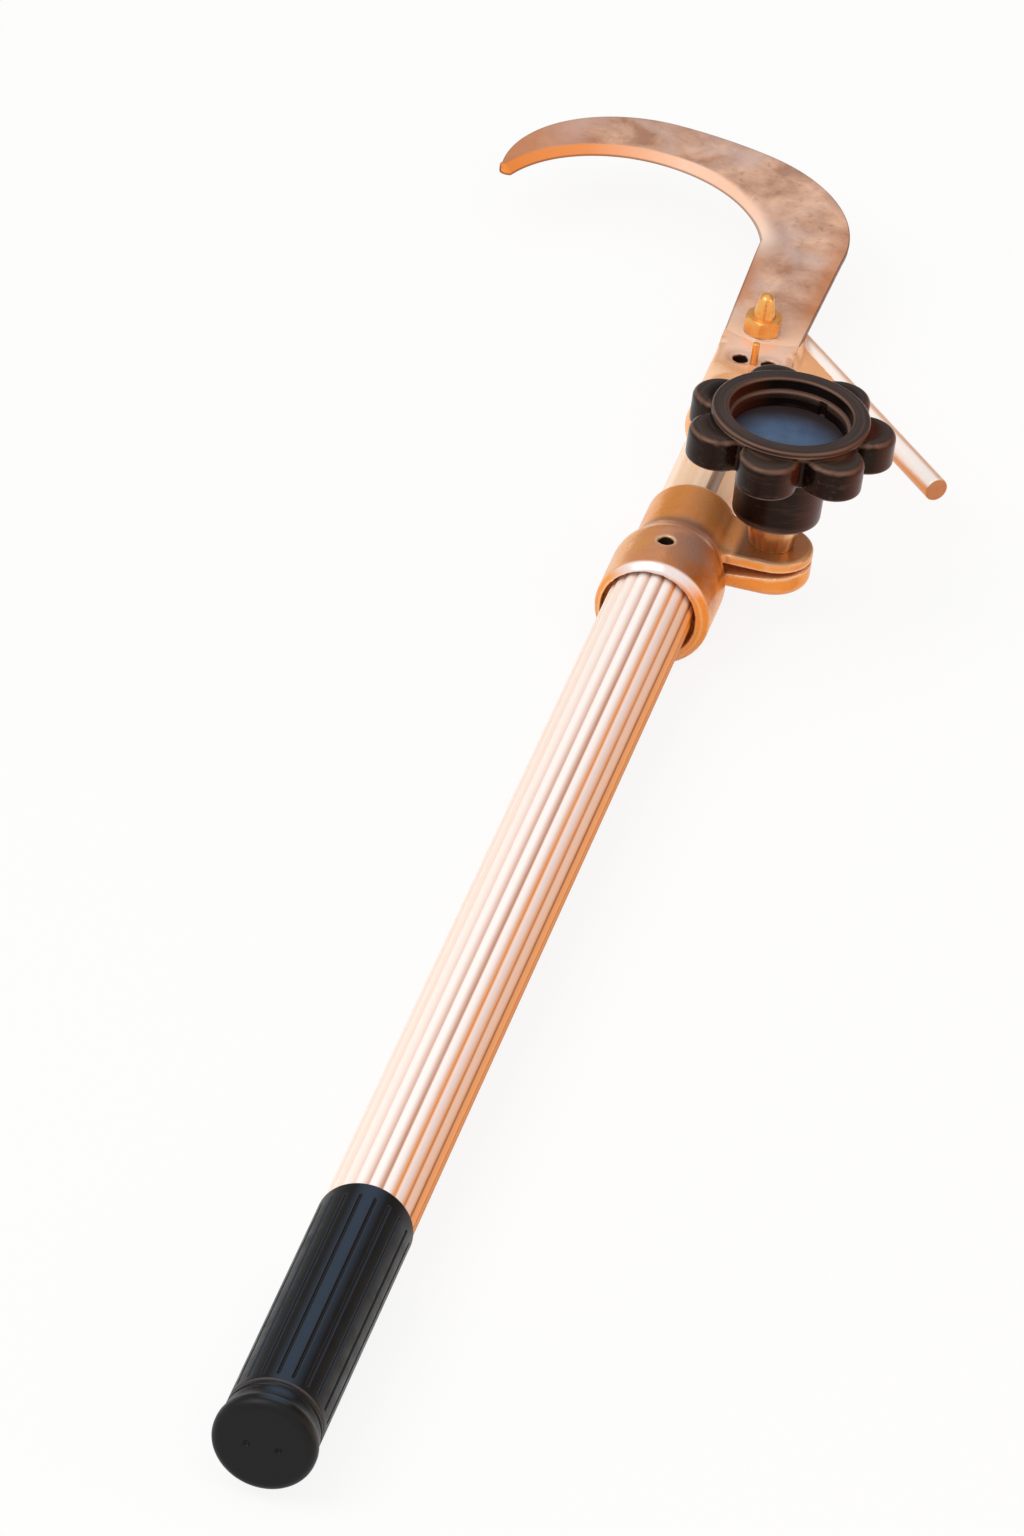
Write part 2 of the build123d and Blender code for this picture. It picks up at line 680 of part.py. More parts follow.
def blade_washer():
    """Plain washer under the brass nut."""
    ring = upright(bolt_x, bolt_y, washer_r, blade_top_z, nut_low_z)
    return ring - upright(bolt_x, bolt_y, bolt_hole_r, blade_top_z - cut_past, nut_low_z + cut_past)


parts = {
    "outer_tube": outer_tube(),
    "butt_cap": butt_cap(),
    "grip_sleeve": grip_sleeve(),
    "clamp_collar": clamp_collar(),
    "collar_grub_screw": collar_grub_screw(),
    "clamp_bolt": clamp_bolt(),
    "thrust_bush": thrust_bush(),
    "knob_body": knob_body(),
    "knob_insert": knob_insert(),
    "knob_disc": knob_disc(),
    "inner_tube": inner_tube(),
    "slide_plug": slide_plug(),
    "plug_pin": plug_pin(),
    "head_socket": head_socket(),
    "socket_rivets": socket_rivets(),
    "locating_peg": locating_peg(),
    "hook_blade": hook_blade(),
    "blade_bolt": blade_bolt(),
    "blade_nut": blade_nut(),
    "blade_washer": blade_washer(),
    "spur_rod": spur_rod(),
    "spur_pin": spur_pin(),
}

os.makedirs("parts", exist_ok=True)
for name, solid in parts.items():
    export_step(solid, f"parts/{name}.step")
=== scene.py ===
# Telescopic fruit picker: a ribbed pole with a black grip, a clamp collar with a star knob, and a hook
# blade with a spur on the inner tube. Sizes are in millimetres and become metres where a mesh is made.
from math import cos, pi, radians, sin, sqrt

import bmesh
import bpy
import numpy as np
from mathutils import Matrix, Vector


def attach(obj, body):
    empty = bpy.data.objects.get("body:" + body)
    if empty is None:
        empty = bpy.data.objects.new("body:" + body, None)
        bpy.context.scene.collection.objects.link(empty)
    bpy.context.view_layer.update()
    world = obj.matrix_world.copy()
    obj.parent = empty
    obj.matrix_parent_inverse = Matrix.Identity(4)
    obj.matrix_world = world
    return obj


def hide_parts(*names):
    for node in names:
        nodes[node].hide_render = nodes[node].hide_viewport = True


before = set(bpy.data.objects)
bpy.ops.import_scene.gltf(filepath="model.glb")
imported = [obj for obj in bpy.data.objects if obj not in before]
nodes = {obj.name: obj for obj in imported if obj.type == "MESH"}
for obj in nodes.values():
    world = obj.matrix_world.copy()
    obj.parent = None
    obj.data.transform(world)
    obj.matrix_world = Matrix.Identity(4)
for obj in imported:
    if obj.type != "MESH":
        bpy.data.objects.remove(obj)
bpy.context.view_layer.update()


# Outer tube
# A drawn aluminium tube with rounded lengthwise ribs, lacquered cream. It runs from inside the butt cap,
# under the grip, into the collar.
def linear(code):
    """Scene-linear colour of an sRGB hex code: the sRGB curve undone, channel by channel."""
    srgb = np.array([int(code[k : k + 2], 16) for k in (1, 3, 5)]) / 255
    low = srgb / 12.92
    high = ((srgb + 0.055) / 1.055) ** 2.4
    return (*np.where(srgb <= 0.04045, low, high), 1.0)


def add(tree, kind, inputs=(), out=None, **settings):
    """Adds a shader node and returns its output in use, or the one that out names. Settings are its properties;
    inputs are a list from the first on, or a dict: each an output, a hex colour or a plain value."""
    node = tree.nodes.new("ShaderNode" + kind)
    for name, value in settings.items():
        setattr(node, name, value)
    for socket, value in inputs.items() if isinstance(inputs, dict) else enumerate(inputs):
        if isinstance(value, bpy.types.NodeSocket):
            tree.links.new(value, node.inputs[socket])
        else:
            node.inputs[socket].default_value = linear(value) if isinstance(value, str) else value
    return node.outputs[out] if out else next((o for o in node.outputs if o.enabled), None)


def new_material(name):
    """Empty node material, its tree, and the Object coordinates that its patterns read."""
    material = bpy.data.materials.new(name)
    material.use_nodes = True
    tree = material.node_tree
    tree.nodes.clear()
    return material, tree, add(tree, "TexCoord", out="Object")


def dress(material, *names):
    """Gives CAD nodes a material in place of their packed one."""
    for name in names:
        slots = nodes[name].data.materials
        slots.clear()
        slots.append(material)


def skin(name, grid, loop, body, material, stands_for):
    """Closed skin over a (rows, around) grid of points in mm: a quad between neighbours, each row closed.
    With loop the last row joins the first; without it each end row is a fan to its own middle."""
    rows, around = grid.shape[:2]
    points = grid.reshape(-1, 3) / 1000
    ring = np.arange(around)
    after = np.roll(ring, -1)
    low = np.arange(rows if loop else rows - 1)[:, None] * around
    high = (low + around) % (rows * around)
    faces = np.stack([low + ring, low + after, high + after, high + ring], -1).reshape(-1, 4).tolist()
    if not loop:
        first = rows * around
        points = np.vstack([points, points[:around].mean(0), points[-around:].mean(0)])
        last = first - around
        faces += np.stack([after, ring, np.full(around, first)], -1).tolist()
        faces += np.stack([last + ring, last + after, np.full(around, first + 1)], -1).tolist()
    corners = np.array([face[:3] for face in faces])
    a, b, c = (points[corners[:, k]] - points.mean(0) for k in range(3))
    if np.einsum("ij,ij->", a, np.cross(b, c)) < 0:
        faces = [face[::-1] for face in faces]
    mesh = bpy.data.meshes.new(name)
    mesh.from_pydata(points.tolist(), [], faces)
    mesh.shade_smooth()
    mesh.materials.append(material)
    piece = bpy.data.objects.new(name, mesh)
    bpy.context.scene.collection.objects.link(piece)
    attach(piece, body)
    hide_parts(stands_for)
    return piece


def paint(piece, **layers):
    """Writes per-point values to a piece's mesh, an attribute for each name, for its material to read."""
    for name, values in layers.items():
        layer = piece.data.attributes.new(name, "FLOAT", "POINT")
        layer.data.foreach_set("value", np.ravel(values).astype(np.float32))


def round_pole(x, radius, angle):
    """Grid of points (x, r cos a, r sin a) round the pole: row i stands at x[i], with r = radius[i] at angle a."""
    return np.stack([x[:, None] + 0 * radius, radius * np.cos(angle), radius * np.sin(angle)], -1)


def step(low, high, value):
    """Smooth step from 0 at low to 1 at high: 3t^2 - 2t^3."""
    t = np.clip((value - low) / (high - low), 0, 1)
    return t * t * (3 - 2 * t)


tube_crest, tube_valley, tube_bore, tube_seat = 15.0, 14.05, 13.5, 14.4
tube_start, tube_grip_end, tube_end = 6.0, 123.5, 533.0
rib_count, rib_turn, columns_per_rib = 20, radians(95), 24
# direction across the pole to the side that is painted with warm light and a dark edge
warm_light_side = (0, -0.97, -0.243)

lacquer, tree, place = new_material("lacquered_aluminium")
hollow = add(tree, "Attribute", out="Fac", attribute_name="hollow")
toward_warm_light = add(tree, "VectorMath", [place, warm_light_side], operation="DOT_PRODUCT")
across = add(tree, "MapRange", [toward_warm_light, -tube_crest / 1000, tube_crest / 1000])
# painted light and shade: cream on the crests and on the side towards the key lamp, a painted shade down each rib's
# shaded flank, and painted warm light with a dark edge on the far side
crest_light_tint = add(tree, "ValToRGB", [across])
shaded_flank_tint = add(tree, "ValToRGB", [across])
crest_light_stops = [(0.0, "#FBEADC"), (0.22, "#FDF6F1"), (0.36, "#FDF9F7"), (0.53, "#FBF6F5"), (0.7, "#EBDAD7")]
crest_light_stops += [(0.85, "#EDC6AE"), (0.93, "#F2A050"), (0.97, "#F39A3A"), (1.0, "#A85F24")]
shaded_flank_stops = [(0.0, "#F9E2D2"), (0.2, "#F5DFD4"), (0.33, "#E3C0B0"), (0.5, "#CC9A82"), (0.66, "#F09F4C")]
shaded_flank_stops += [(0.79, "#DE8C3C"), (0.9, "#AE642A"), (0.96, "#C87828"), (1.0, "#74401A")]
for ramp, stops in ((crest_light_tint, crest_light_stops), (shaded_flank_tint, shaded_flank_stops)):
    elements = ramp.node.color_ramp.elements
    for at, code in stops[1:-1]:
        elements.new(at).color = linear(code)
    elements[0].color, elements[-1].color = linear(stops[0][1]), linear(stops[-1][1])
# draw marks 2.5 mm apart and 80 mm long break the painted shade up
streak_place = add(tree, "Mapping", {"Vector": place, "Scale": (0.03, 1, 1)})
streak = add(tree, "TexNoise", {"Vector": streak_place, "Scale": 1 / 0.0025, "Detail": 3.0})
faded = add(tree, "MapRange", [streak, 0.25, 0.75, 0.82, 1.1])
share = add(tree, "Math", [hollow, faded], operation="MULTIPLY", use_clamp=True)
tint = add(tree, "Mix", {0: share, 6: crest_light_tint, 7: shaded_flank_tint}, data_type="RGBA")
finish = {"Base Color": tint, "Roughness": 0.42, "Specular IOR Level": 0.28}
add(tree, "OutputMaterial", [add(tree, "BsdfPrincipled", finish)])

angle = np.linspace(0, 2 * pi, rib_count * columns_per_rib, endpoint=False)
lean = (((angle - rib_turn) * rib_count / (2 * pi) + 0.5) % 1 - 0.5) * 2
ribbed = tube_valley + (tube_crest - tube_valley) * (1 - lean**2) ** 0.7
plain = np.ones_like(angle)
stations = [(tube_start, plain * tube_seat), (tube_grip_end - 0.6, plain * tube_seat), (tube_grip_end - 0.1, ribbed)]
stations += [(x, ribbed) for x in np.linspace(tube_grip_end, tube_end - 0.5, 24)]
stations += [(tube_end, ribbed - 0.4), (tube_end, plain * tube_bore), (tube_start, plain * tube_bore)]
x, radius = (np.array(part) for part in zip(*stations))
grid = round_pole(x, radius, angle)
ribbed_tube = skin("ribbed_tube", grid, True, "outer", lacquer, "outer_tube")
# painted shade: full down each rib's flank turned from the key lamp and in its groove, gone on the next rib's lit
# flank
rib_shade_share = np.maximum(step(-0.15, 1.0, lean), np.clip((-0.76 - lean) / 0.16, 0, 1))
paint(ribbed_tube, hollow=np.tile(rib_shade_share, len(stations)))


# Grip sleeve and butt cap
# Moulded black rubber: a sleeve with twenty thin grooves closed at both ends, pushed on the tube, and a
# flared cap plugged into the tube's end. Both are satin, with paler lips where hands have rubbed them, which
# also carry painted highlights along the grooves' edges and the rims.
rubber, tree, place = new_material("moulded_rubber")
lip = add(tree, "Attribute", out="Fac", attribute_name="lip")
# bloom on the rubber, in patches of about 8 mm
bloom = add(tree, "TexNoise", {"Vector": place, "Scale": 1 / 0.008, "Detail": 4.0})
black = add(tree, "Mix", {0: bloom, 6: "#0C0B0C", 7: "#151314"}, data_type="RGBA")
# painted sheen: a bluish strip along the top, where a reflection of the sky would lie
normal = add(tree, "TexCoord", out="Normal")
topmost = add(tree, "VectorMath", [normal, (0, -0.08, 0.997)], operation="DOT_PRODUCT")
sheen_strip = add(tree, "MapRange", [topmost, 0.94, 1.0, 0.0, 0.9])
painted_sheen = add(tree, "Mix", {0: sheen_strip, 6: black, 7: "#2A3848"}, data_type="RGBA")
# worn paler lips, with painted highlights on the grooves' edges and the rims
rubbed_and_highlit = add(tree, "Mix", {0: lip, 6: painted_sheen, 7: "#4A4645"}, data_type="RGBA")
# moulded skin, drawn at 0.5 mm so that it shows
pores = add(tree, "TexNoise", {"Vector": place, "Scale": 1 / 0.0005, "Detail": 2.0})
grain = add(tree, "Bump", {"Height": pores, "Strength": 0.12, "Distance": 0.0002})
sheen = add(tree, "MapRange", [bloom, 0.3, 0.7, 0.34, 0.5])
finish = {"Base Color": rubbed_and_highlit, "Roughness": sheen, "IOR": 1.52, "Specular IOR Level": 0.2, "Normal": grain}
add(tree, "OutputMaterial", [add(tree, "BsdfPrincipled", finish)])


def bell(distance, width):
    """Bell curve exp(-(d / w)^2)."""
    return np.exp(-((distance / width) ** 2))


grip_start, grip_end, grip_radius, grip_bore = 14.0, 123.5, 15.5, 14.45
grip_edge_run, grip_edge_drop = 0.7, 0.6
groove_start, groove_end, groove_count, groove_turn = 17.5, 117.0, 20, radians(102.5)
groove_depth, groove_floor, groove_lip = 0.55, 0.15, 0.6
angle = np.linspace(0, 2 * pi, groove_count * 30, endpoint=False)
# stations close together over the rounded edges and the grooves' ends
edge_steps = np.array([0, 0.15, 0.35, grip_edge_run])
x = [grip_start + edge_steps, np.linspace(15.2, 16.0, 3), np.linspace(16.3, 19.3, 16), np.linspace(21, 113.5, 28)]
x += [np.linspace(115.1, 118.1, 16), np.linspace(119.0, 122.3, 4), grip_end - edge_steps[::-1]]
x = np.concatenate(x)
inward = 1 - np.minimum(x - grip_start, grip_end - x) / grip_edge_run
edge = grip_edge_drop * (1 - np.sqrt(np.clip(1 - inward**2, 0, 1)))
edge[(x > grip_start + grip_edge_run) & (x < grip_end - grip_edge_run)] = 0
pitch = 2 * pi * grip_radius / groove_count
sideways = (((angle - groove_turn) * groove_count / (2 * pi) + 0.5) % 1 - 0.5) * pitch
beyond = np.maximum(0, np.maximum(groove_start - x, x - groove_end))
away = np.hypot(sideways[None, :], beyond[:, None])
radius = grip_radius - edge[:, None] - groove_depth * (1 - step(groove_floor, groove_lip, away))
x = np.concatenate([x, [grip_end, grip_start]])
radius = np.vstack([radius, np.full((2, len(angle)), grip_bore)])
grip_skin = skin("grip_skin", round_pole(x, radius, angle), True, "outer", rubber, "grip_sleeve")
# paler lines beside the grooves and on the rounded ends: wear with painted highlights
worn_and_highlit = np.maximum(0.3 * bell(away - 0.62, 0.14), 0.9 * (edge[:, None] > 0.05))
paint(grip_skin, lip=np.vstack([worn_and_highlit, np.zeros((2, len(angle)))]))

cap_line = [(0, r) for r in np.linspace(0.4, 13.2, 33)]
cap_line += [(3 - 3 * cos(t), 13.5 + 3 * sin(t)) for t in np.linspace(0, pi / 2, 9)]
cap_line += [(3.8, 16.5), (4.4, 16.5), (4.8, 16.42)]
cap_line += [(9.6 - t, 28.5 - sqrt(169 - t * t)) for t in np.linspace(4.4, 0, 9)]
cap_line += [(10.3, 15.5), (10.5, 15.4), (10.7, 15.12), (11.1, 15.05), (11.5, 15.12), (11.7, 15.4), (11.9, 15.5)]
cap_line += [(12.7, 15.5), (12.92, 15.4), (13, 15.1), (13, 14.45), (6, 14.45), (6, 13.4), (34, 13.4), (34, 0.5)]
cap_line = np.array(cap_line)
rim_x, dimple_out, dimple_depth, dimple_floor, dimple_lip = 4.6, 5.0, 0.8, 0.7, 1.3
angle = np.linspace(0, 2 * pi, 192, endpoint=False)
grid = round_pole(cap_line[:, 0], cap_line[:, 1:] + 0 * angle, angle)
on_face = cap_line[:, 0] == 0
for dimple_y in (-dimple_out, dimple_out):
    from_dimple = np.hypot(grid[on_face, :, 1] - dimple_y, grid[on_face, :, 2])
    grid[on_face, :, 0] += dimple_depth * (1 - step(dimple_floor, dimple_lip, from_dimple))
cap_skin = skin("cap_skin", grid, False, "outer", rubber, "butt_cap")
# painted highlight round the flange's rim
rim = 0.5 * bell(cap_line[:, 0] - rim_x, 0.35) * (cap_line[:, 1] > 16)
paint(cap_skin, lip=np.append(np.repeat(rim, len(angle)), [0, 0]))


# Clamp collar and its grub screw
# A sand casting in bronze: a wide barrel that a grub screw holds on the tube, and a split one whose two ears
# the clamp screw draws together. Its corners run out in cast fillets; the mouth's lip is turned bright.
bronze, tree, place = new_material("cast_bronze")
# bright: the turned lip, with a painted highlight on its top, and a painted gleam round the head's nut; polish:
# brushed metal on the head and painted highlights on the collar; shade: painted shade
layers = ("crease", "bright", "shade", "polish")
crease, bright, shade, polish = (add(tree, "Attribute", out="Fac", attribute_name=name) for name in layers)
normal = add(tree, "TexCoord", out="Normal")
# painted side light over brown oxide: paler orange on the side towards the key lamp, brown on top, red-brown on the
# ears' side and a painted golden warm light below, broken into clouds of about 9 mm
cloud = add(tree, "TexNoise", {"Vector": place, "Scale": 1 / 0.009, "Detail": 5.0})
drift = add(tree, "MapRange", [cloud, 0.3, 0.7, -0.22, 0.22])
facing_warm_light = add(tree, "VectorMath", [normal, warm_light_side], operation="DOT_PRODUCT")
turned_by = add(tree, "Math", [facing_warm_light, drift], operation="ADD")
oxide_and_side_light = add(tree, "ValToRGB", [add(tree, "MapRange", [turned_by, -1.0, 1.0])])
stops = [(0.0, "#F0A95C"), (0.2, "#E59A60"), (0.4, "#D38F64"), (0.55, "#C08766"), (0.75, "#BC682C")]
stops += [(0.88, "#D07724"), (1.0, "#F5A440")]
elements = oxide_and_side_light.node.color_ramp.elements
for at, code in stops[1:-1]:
    elements.new(at).color = linear(code)
elements[0].color, elements[-1].color = linear(stops[0][1]), linear(stops[-1][1])
# one greyed heat stain, ragged over 20 mm, on the collar beside its grub screw
stain_centre = (0.519, -0.008, 0.018)
ragged = add(tree, "TexNoise", {"Vector": place, "Scale": 1 / 0.012, "Detail": 5.0, "Distortion": 0.6})
from_stain = add(tree, "VectorMath", [place, stain_centre], operation="DISTANCE")
stain_edge = add(tree, "Math", [ragged, 0.016, from_stain], operation="MULTIPLY_ADD")
burn_share = add(tree, "MapRange", [stain_edge, 0.011, 0.022, 0.7, 0.0])
burnt = add(tree, "Mix", {0: burn_share, 6: oxide_and_side_light, 7: "#AC897C"}, data_type="RGBA")
# painted warm light: golden on faces turned to the front, and a painted lift, warmer, on the narrow barrel where the
# knob's shadow falls
facing_x = add(tree, "SeparateXYZ", [normal], out="X")
front_lit = add(tree, "MapRange", [facing_x, -0.25, -0.9, 0.0, 0.9])
along_pole = add(tree, "SeparateXYZ", [place], out="X")
lift_share = add(tree, "MapRange", [along_pole, 0.565, 0.6, 0.62, 0.4])
narrow_barrel_lift = add(tree, "MapRange", [along_pole, 0.538, 0.544, 0.0, lift_share])
painted_warm_light = add(tree, "Math", [front_lit, narrow_barrel_lift], operation="MAXIMUM")
lit_side_tint = add(tree, "Mix", {0: painted_warm_light, 6: burnt, 7: "#F3962F"}, data_type="RGBA")
# brushed metal on the head, and painted highlights along the collar's top rim and at an ear's root
polished = add(tree, "Mix", {0: polish, 6: lit_side_tint, 7: "#FFBE86"}, data_type="RGBA")
body_tint = add(tree, "Mix", {0: shade, 6: polished, 7: "#33201A"}, data_type="RGBA")
# grime and painted shade in the corners, rubbed metal and painted highlights on the edges
grimy_and_shaded = add(tree, "MapRange", [crease, 0.04, 0.35, 0.0, 0.75])
rubbed_and_highlit = add(tree, "MapRange", [crease, -0.07, -0.3, 0.0, 0.6])
dirty_and_shaded = add(tree, "Mix", {0: grimy_and_shaded, 6: body_tint, 7: "#4A2A1A"}, data_type="RGBA")
edges_rubbed_and_lit = add(tree, "Mix", {0: rubbed_and_highlit, 6: dirty_and_shaded, 7: "#F8D0A8"}, data_type="RGBA")
# the turned lip with its painted top highlight, and the painted gleam round the head's nut
turned_lip = add(tree, "Mix", {0: bright, 6: edges_rubbed_and_lit, 7: "#E6DBDB"}, data_type="RGBA")
# sand-cast skin: 0.6 mm grains over a soft 4 mm unevenness
sand = add(tree, "TexNoise", {"Vector": place, "Scale": 1 / 0.0006, "Detail": 2.0})
waves = add(tree, "TexNoise", {"Vector": place, "Scale": 1 / 0.004, "Detail": 1.0})
skin_depth = add(tree, "Math", [sand, 0.12, waves], operation="MULTIPLY_ADD")
cast_skin = add(tree, "Bump", {"Height": skin_depth, "Strength": 0.16, "Distance": 0.001})
gloss = add(tree, "MapRange", [cloud, 0.3, 0.7, 0.2, 0.36])
finish = {"Base Color": turned_lip, "Metallic": 0.3, "Roughness": gloss, "Specular IOR Level": 0.4}
finish["Normal"] = cast_skin
add(tree, "OutputMaterial", [add(tree, "BsdfPrincipled", finish)])


def cast_copy(name, node, voxel, may_fill, rounds, body):
    """Casting's skin from a CAD solid: merged, remeshed on a voxel grid in mm, then relaxed. A relaxing round
    moves a point by part of (mean of its neighbours - point). A filling round keeps only the part of that
    along the normal, where it points outwards: that builds the fillets where may_fill(points in mm) holds."""
    source = nodes[node].data.copy()
    merged = bmesh.new()
    merged.from_mesh(source)
    bmesh.ops.remove_doubles(merged, verts=merged.verts, dist=1e-6)
    merged.to_mesh(source)
    merged.free()
    block = bpy.data.objects.new(name, source)
    bpy.context.scene.collection.objects.link(block)
    remesh = block.modifiers.new("voxels", "REMESH")
    remesh.mode = "VOXEL"
    remesh.voxel_size = voxel / 1000
    mesh = bpy.data.meshes.new_from_object(block.evaluated_get(bpy.context.evaluated_depsgraph_get()))
    block.modifiers.clear()
    block.data = mesh
    count = len(mesh.vertices)
    points, normals = np.empty(count * 3, np.float32), np.empty(count * 3, np.float32)
    pairs = np.empty(len(mesh.edges) * 2, np.int32)
    mesh.vertices.foreach_get("co", points)
    mesh.edges.foreach_get("vertices", pairs)
    points = points.reshape(-1, 3) * 1000
    one, other = pairs.reshape(-1, 2).T
    degree = np.bincount(pairs, minlength=count)[:, None]

    def lean(values):
        """Mean of a point's neighbours less the point itself, for any per-point values."""
        total = [np.bincount(one, v[other], count) + np.bincount(other, v[one], count) for v in values.T]
        return np.stack(total, -1) / degree - values

    def outward():
        """Unit normals of the points as they now stand."""
        mesh.vertices.foreach_set("co", (points / 1000).astype(np.float32).ravel())
        mesh.update()
        mesh.vertex_normals.foreach_get("vector", normals)
        return normals.reshape(-1, 3)

    for pull in (0.5, -0.52) * 5:
        points = points + pull * lean(points)
    for turn in range(rounds):
        if turn % 5 == 0:
            up = outward().copy()
            open_to_fill = may_fill(points)
        rise = np.einsum("ij,ij->i", lean(points), up)
        points = points + (0.6 * np.maximum(rise, 0) * open_to_fill)[:, None] * up
    for pull in (0.5, -0.52) * 4:
        points = points + pull * lean(points)
    bend = np.einsum("ij,ij->i", lean(points), outward())[:, None] / voxel
    for _ in range(6):
        bend = bend + 0.5 * lean(bend)
    paint(block, crease=4 * bend)
    mesh.shade_smooth()
    mesh.materials.clear()
    mesh.materials.append(bronze)
    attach(block, body)
    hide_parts(node)
    return block, points


def ear_roots(p):
    """Outside of the barrels on the ears' side, clear of the slit and the bore."""
    return (p[:, 1] < -8) & (np.abs(p[:, 2]) > 4.6) & (np.hypot(p[:, 1], p[:, 2]) > 15.4)


collar_skin, points = cast_copy("collar_skin", "clamp_collar", 0.5, ear_roots, 60, "outer")
collar_y, mouth_x, grub_x, shoulder_x, barrel_top_x = -1.2, 502.6, 518.0, 538.5, 562.6
grub_radius, ear_root = 2.7, np.array([538, -17.5, 8])
px, py, pz = points.T
# painted light and shade: a pale highlight on the top of the turned lip, painted shade in the grub hole, on the
# ears' tops under the knob and along the fold, and painted highlights along the narrow barrel's top rim and at an
# ear's root
lip_share = (1 - step(mouth_x, 504.0, px)) * step(9, 17.5, pz) * step(16.2, 17.0, np.hypot(py - collar_y, pz))
grub_hole = (1 - step(grub_radius, grub_radius + 0.4, np.hypot(px - grub_x, py))) * (pz > 12)
ear_top = (0.75 - 0.4 * step(28, 44, -py)) * step(6.6, 7.8, pz) * step(18.5, 22, -py)
fold = 0.4 * bell(px - shoulder_x, 2.2) * (np.abs(py - collar_y) < 18)
root_gleam = 0.7 * np.exp(-((points - ear_root) ** 2).sum(1) / 18)
top_rim_highlight = np.maximum(0.9 * bell(px - barrel_top_x, 0.6), root_gleam)
paint(collar_skin, bright=lip_share, shade=np.maximum(np.maximum(grub_hole, ear_top), fold), polish=top_rim_highlight)

blackened, tree, place = new_material("blackened_steel")
# oil-black finish with a faint brown bloom, in specks of 1 mm
fleck = add(tree, "TexNoise", {"Vector": place, "Scale": 1 / 0.001, "Detail": 3.0})
tint = add(tree, "Mix", {0: fleck, 6: "#14100F", 7: "#3A2A22"}, data_type="RGBA")
finish = {"Base Color": tint, "Metallic": 0.8, "Roughness": 0.45}
add(tree, "OutputMaterial", [add(tree, "BsdfPrincipled", finish)])
dress(blackened, "collar_grub_screw")


# Clamp bolt
# An M8 coach bolt pushed up through both ears, its low cup head under the lower one and its square neck in it.
# Zinc-plated steel under a yellow passivate, dulled by handling; the head's rivets and pins are the same.
plated, tree, place = new_material("yellow_zinc_steel")
# passivate in cloudy stains of 3 mm
stain = add(tree, "TexNoise", {"Vector": place, "Scale": 1 / 0.003, "Detail": 4.0})
tint = add(tree, "Mix", {0: stain, 6: "#B98A5A", 7: "#E3C6A0"}, data_type="RGBA")
dulled = add(tree, "MapRange", [stain, 0.3, 0.7, 0.42, 0.24])
finish = {"Base Color": tint, "Metallic": 0.9, "Roughness": dulled}
add(tree, "OutputMaterial", [add(tree, "BsdfPrincipled", finish)])
dress(plated, "clamp_bolt", "plug_pin", "socket_rivets", "spur_pin")


# Thrust bush
# Turned steel, wider under the knob, loose on the clamp screw: it carries the knob's thrust to the upper ear.
# The tool has left fine rings round it.
turned_steel, tree, place = new_material("turned_steel")
# tool rings 0.35 mm apart, along the screw
ring_place = add(tree, "Mapping", {"Vector": place, "Scale": (0.02, 0.02, 1)})
rings = add(tree, "TexNoise", {"Vector": ring_place, "Scale": 1 / 0.0007, "Detail": 1.0})
# painted reflections: dark and bright streaks that run down it, 3 mm apart
reflection_place = add(tree, "Mapping", {"Vector": place, "Scale": (1, 1, 0.08)})
reflection_streaks = add(tree, "TexNoise", {"Vector": reflection_place, "Scale": 1 / 0.005, "Detail": 2.0})
reflection_share = add(tree, "MapRange", [reflection_streaks, 0.38, 0.6])
tint = add(tree, "Mix", {0: reflection_share, 6: "#B87440", 7: "#FBCF9C"}, data_type="RGBA")
lathe = add(tree, "Bump", {"Height": rings, "Strength": 0.1, "Distance": 0.0003})
finish = {"Base Color": tint, "Metallic": 0.7, "Roughness": 0.24, "Normal": lathe}
add(tree, "OutputMaterial", [add(tree, "BsdfPrincipled", finish)])

screw_x, screw_y = 551.0, -30.4


def rounded(corners, radius, steps=6):
    """Closed outline whose corners are parabolas (1-t)^2 a + 2t(1-t) corner + t^2 b, where a and b lie on the
    corner's two sides, radius away from it or half-way along a shorter side."""
    corners = np.array(corners, float)
    ends = []
    for shift in (1, -1):
        run = np.roll(corners, shift, 0) - corners
        ends.append(corners + run * np.minimum(0.5, radius / np.linalg.norm(run, axis=1))[:, None])
    t = np.linspace(0, 1, steps)[:, None, None]
    curve = (1 - t) ** 2 * ends[0] + 2 * t * (1 - t) * corners + t**2 * ends[1]
    return curve.transpose(1, 0, 2).reshape(-1, 2)


def turned(outline, columns):
    """Outline of (radius, z) points carried round the clamp screw's axis."""
    angle = np.linspace(0, 2 * pi, columns, endpoint=False)
    radius, z = outline[:, :1], outline[:, 1:]
    x, y = screw_x + radius * np.cos(angle), screw_y + radius * np.sin(angle)
    return np.stack([x, y, z + 0 * angle], -1)


bush_line = rounded([(4.35, 8.0), (7.5, 8.0), (7.7, 8.6), (9.5, 17.6), (9.5, 20.0), (4.35, 20.0)], 0.5)
skin("bush_skin", turned(bush_line, 128), True, "bush", turned_steel, "thrust_bush")


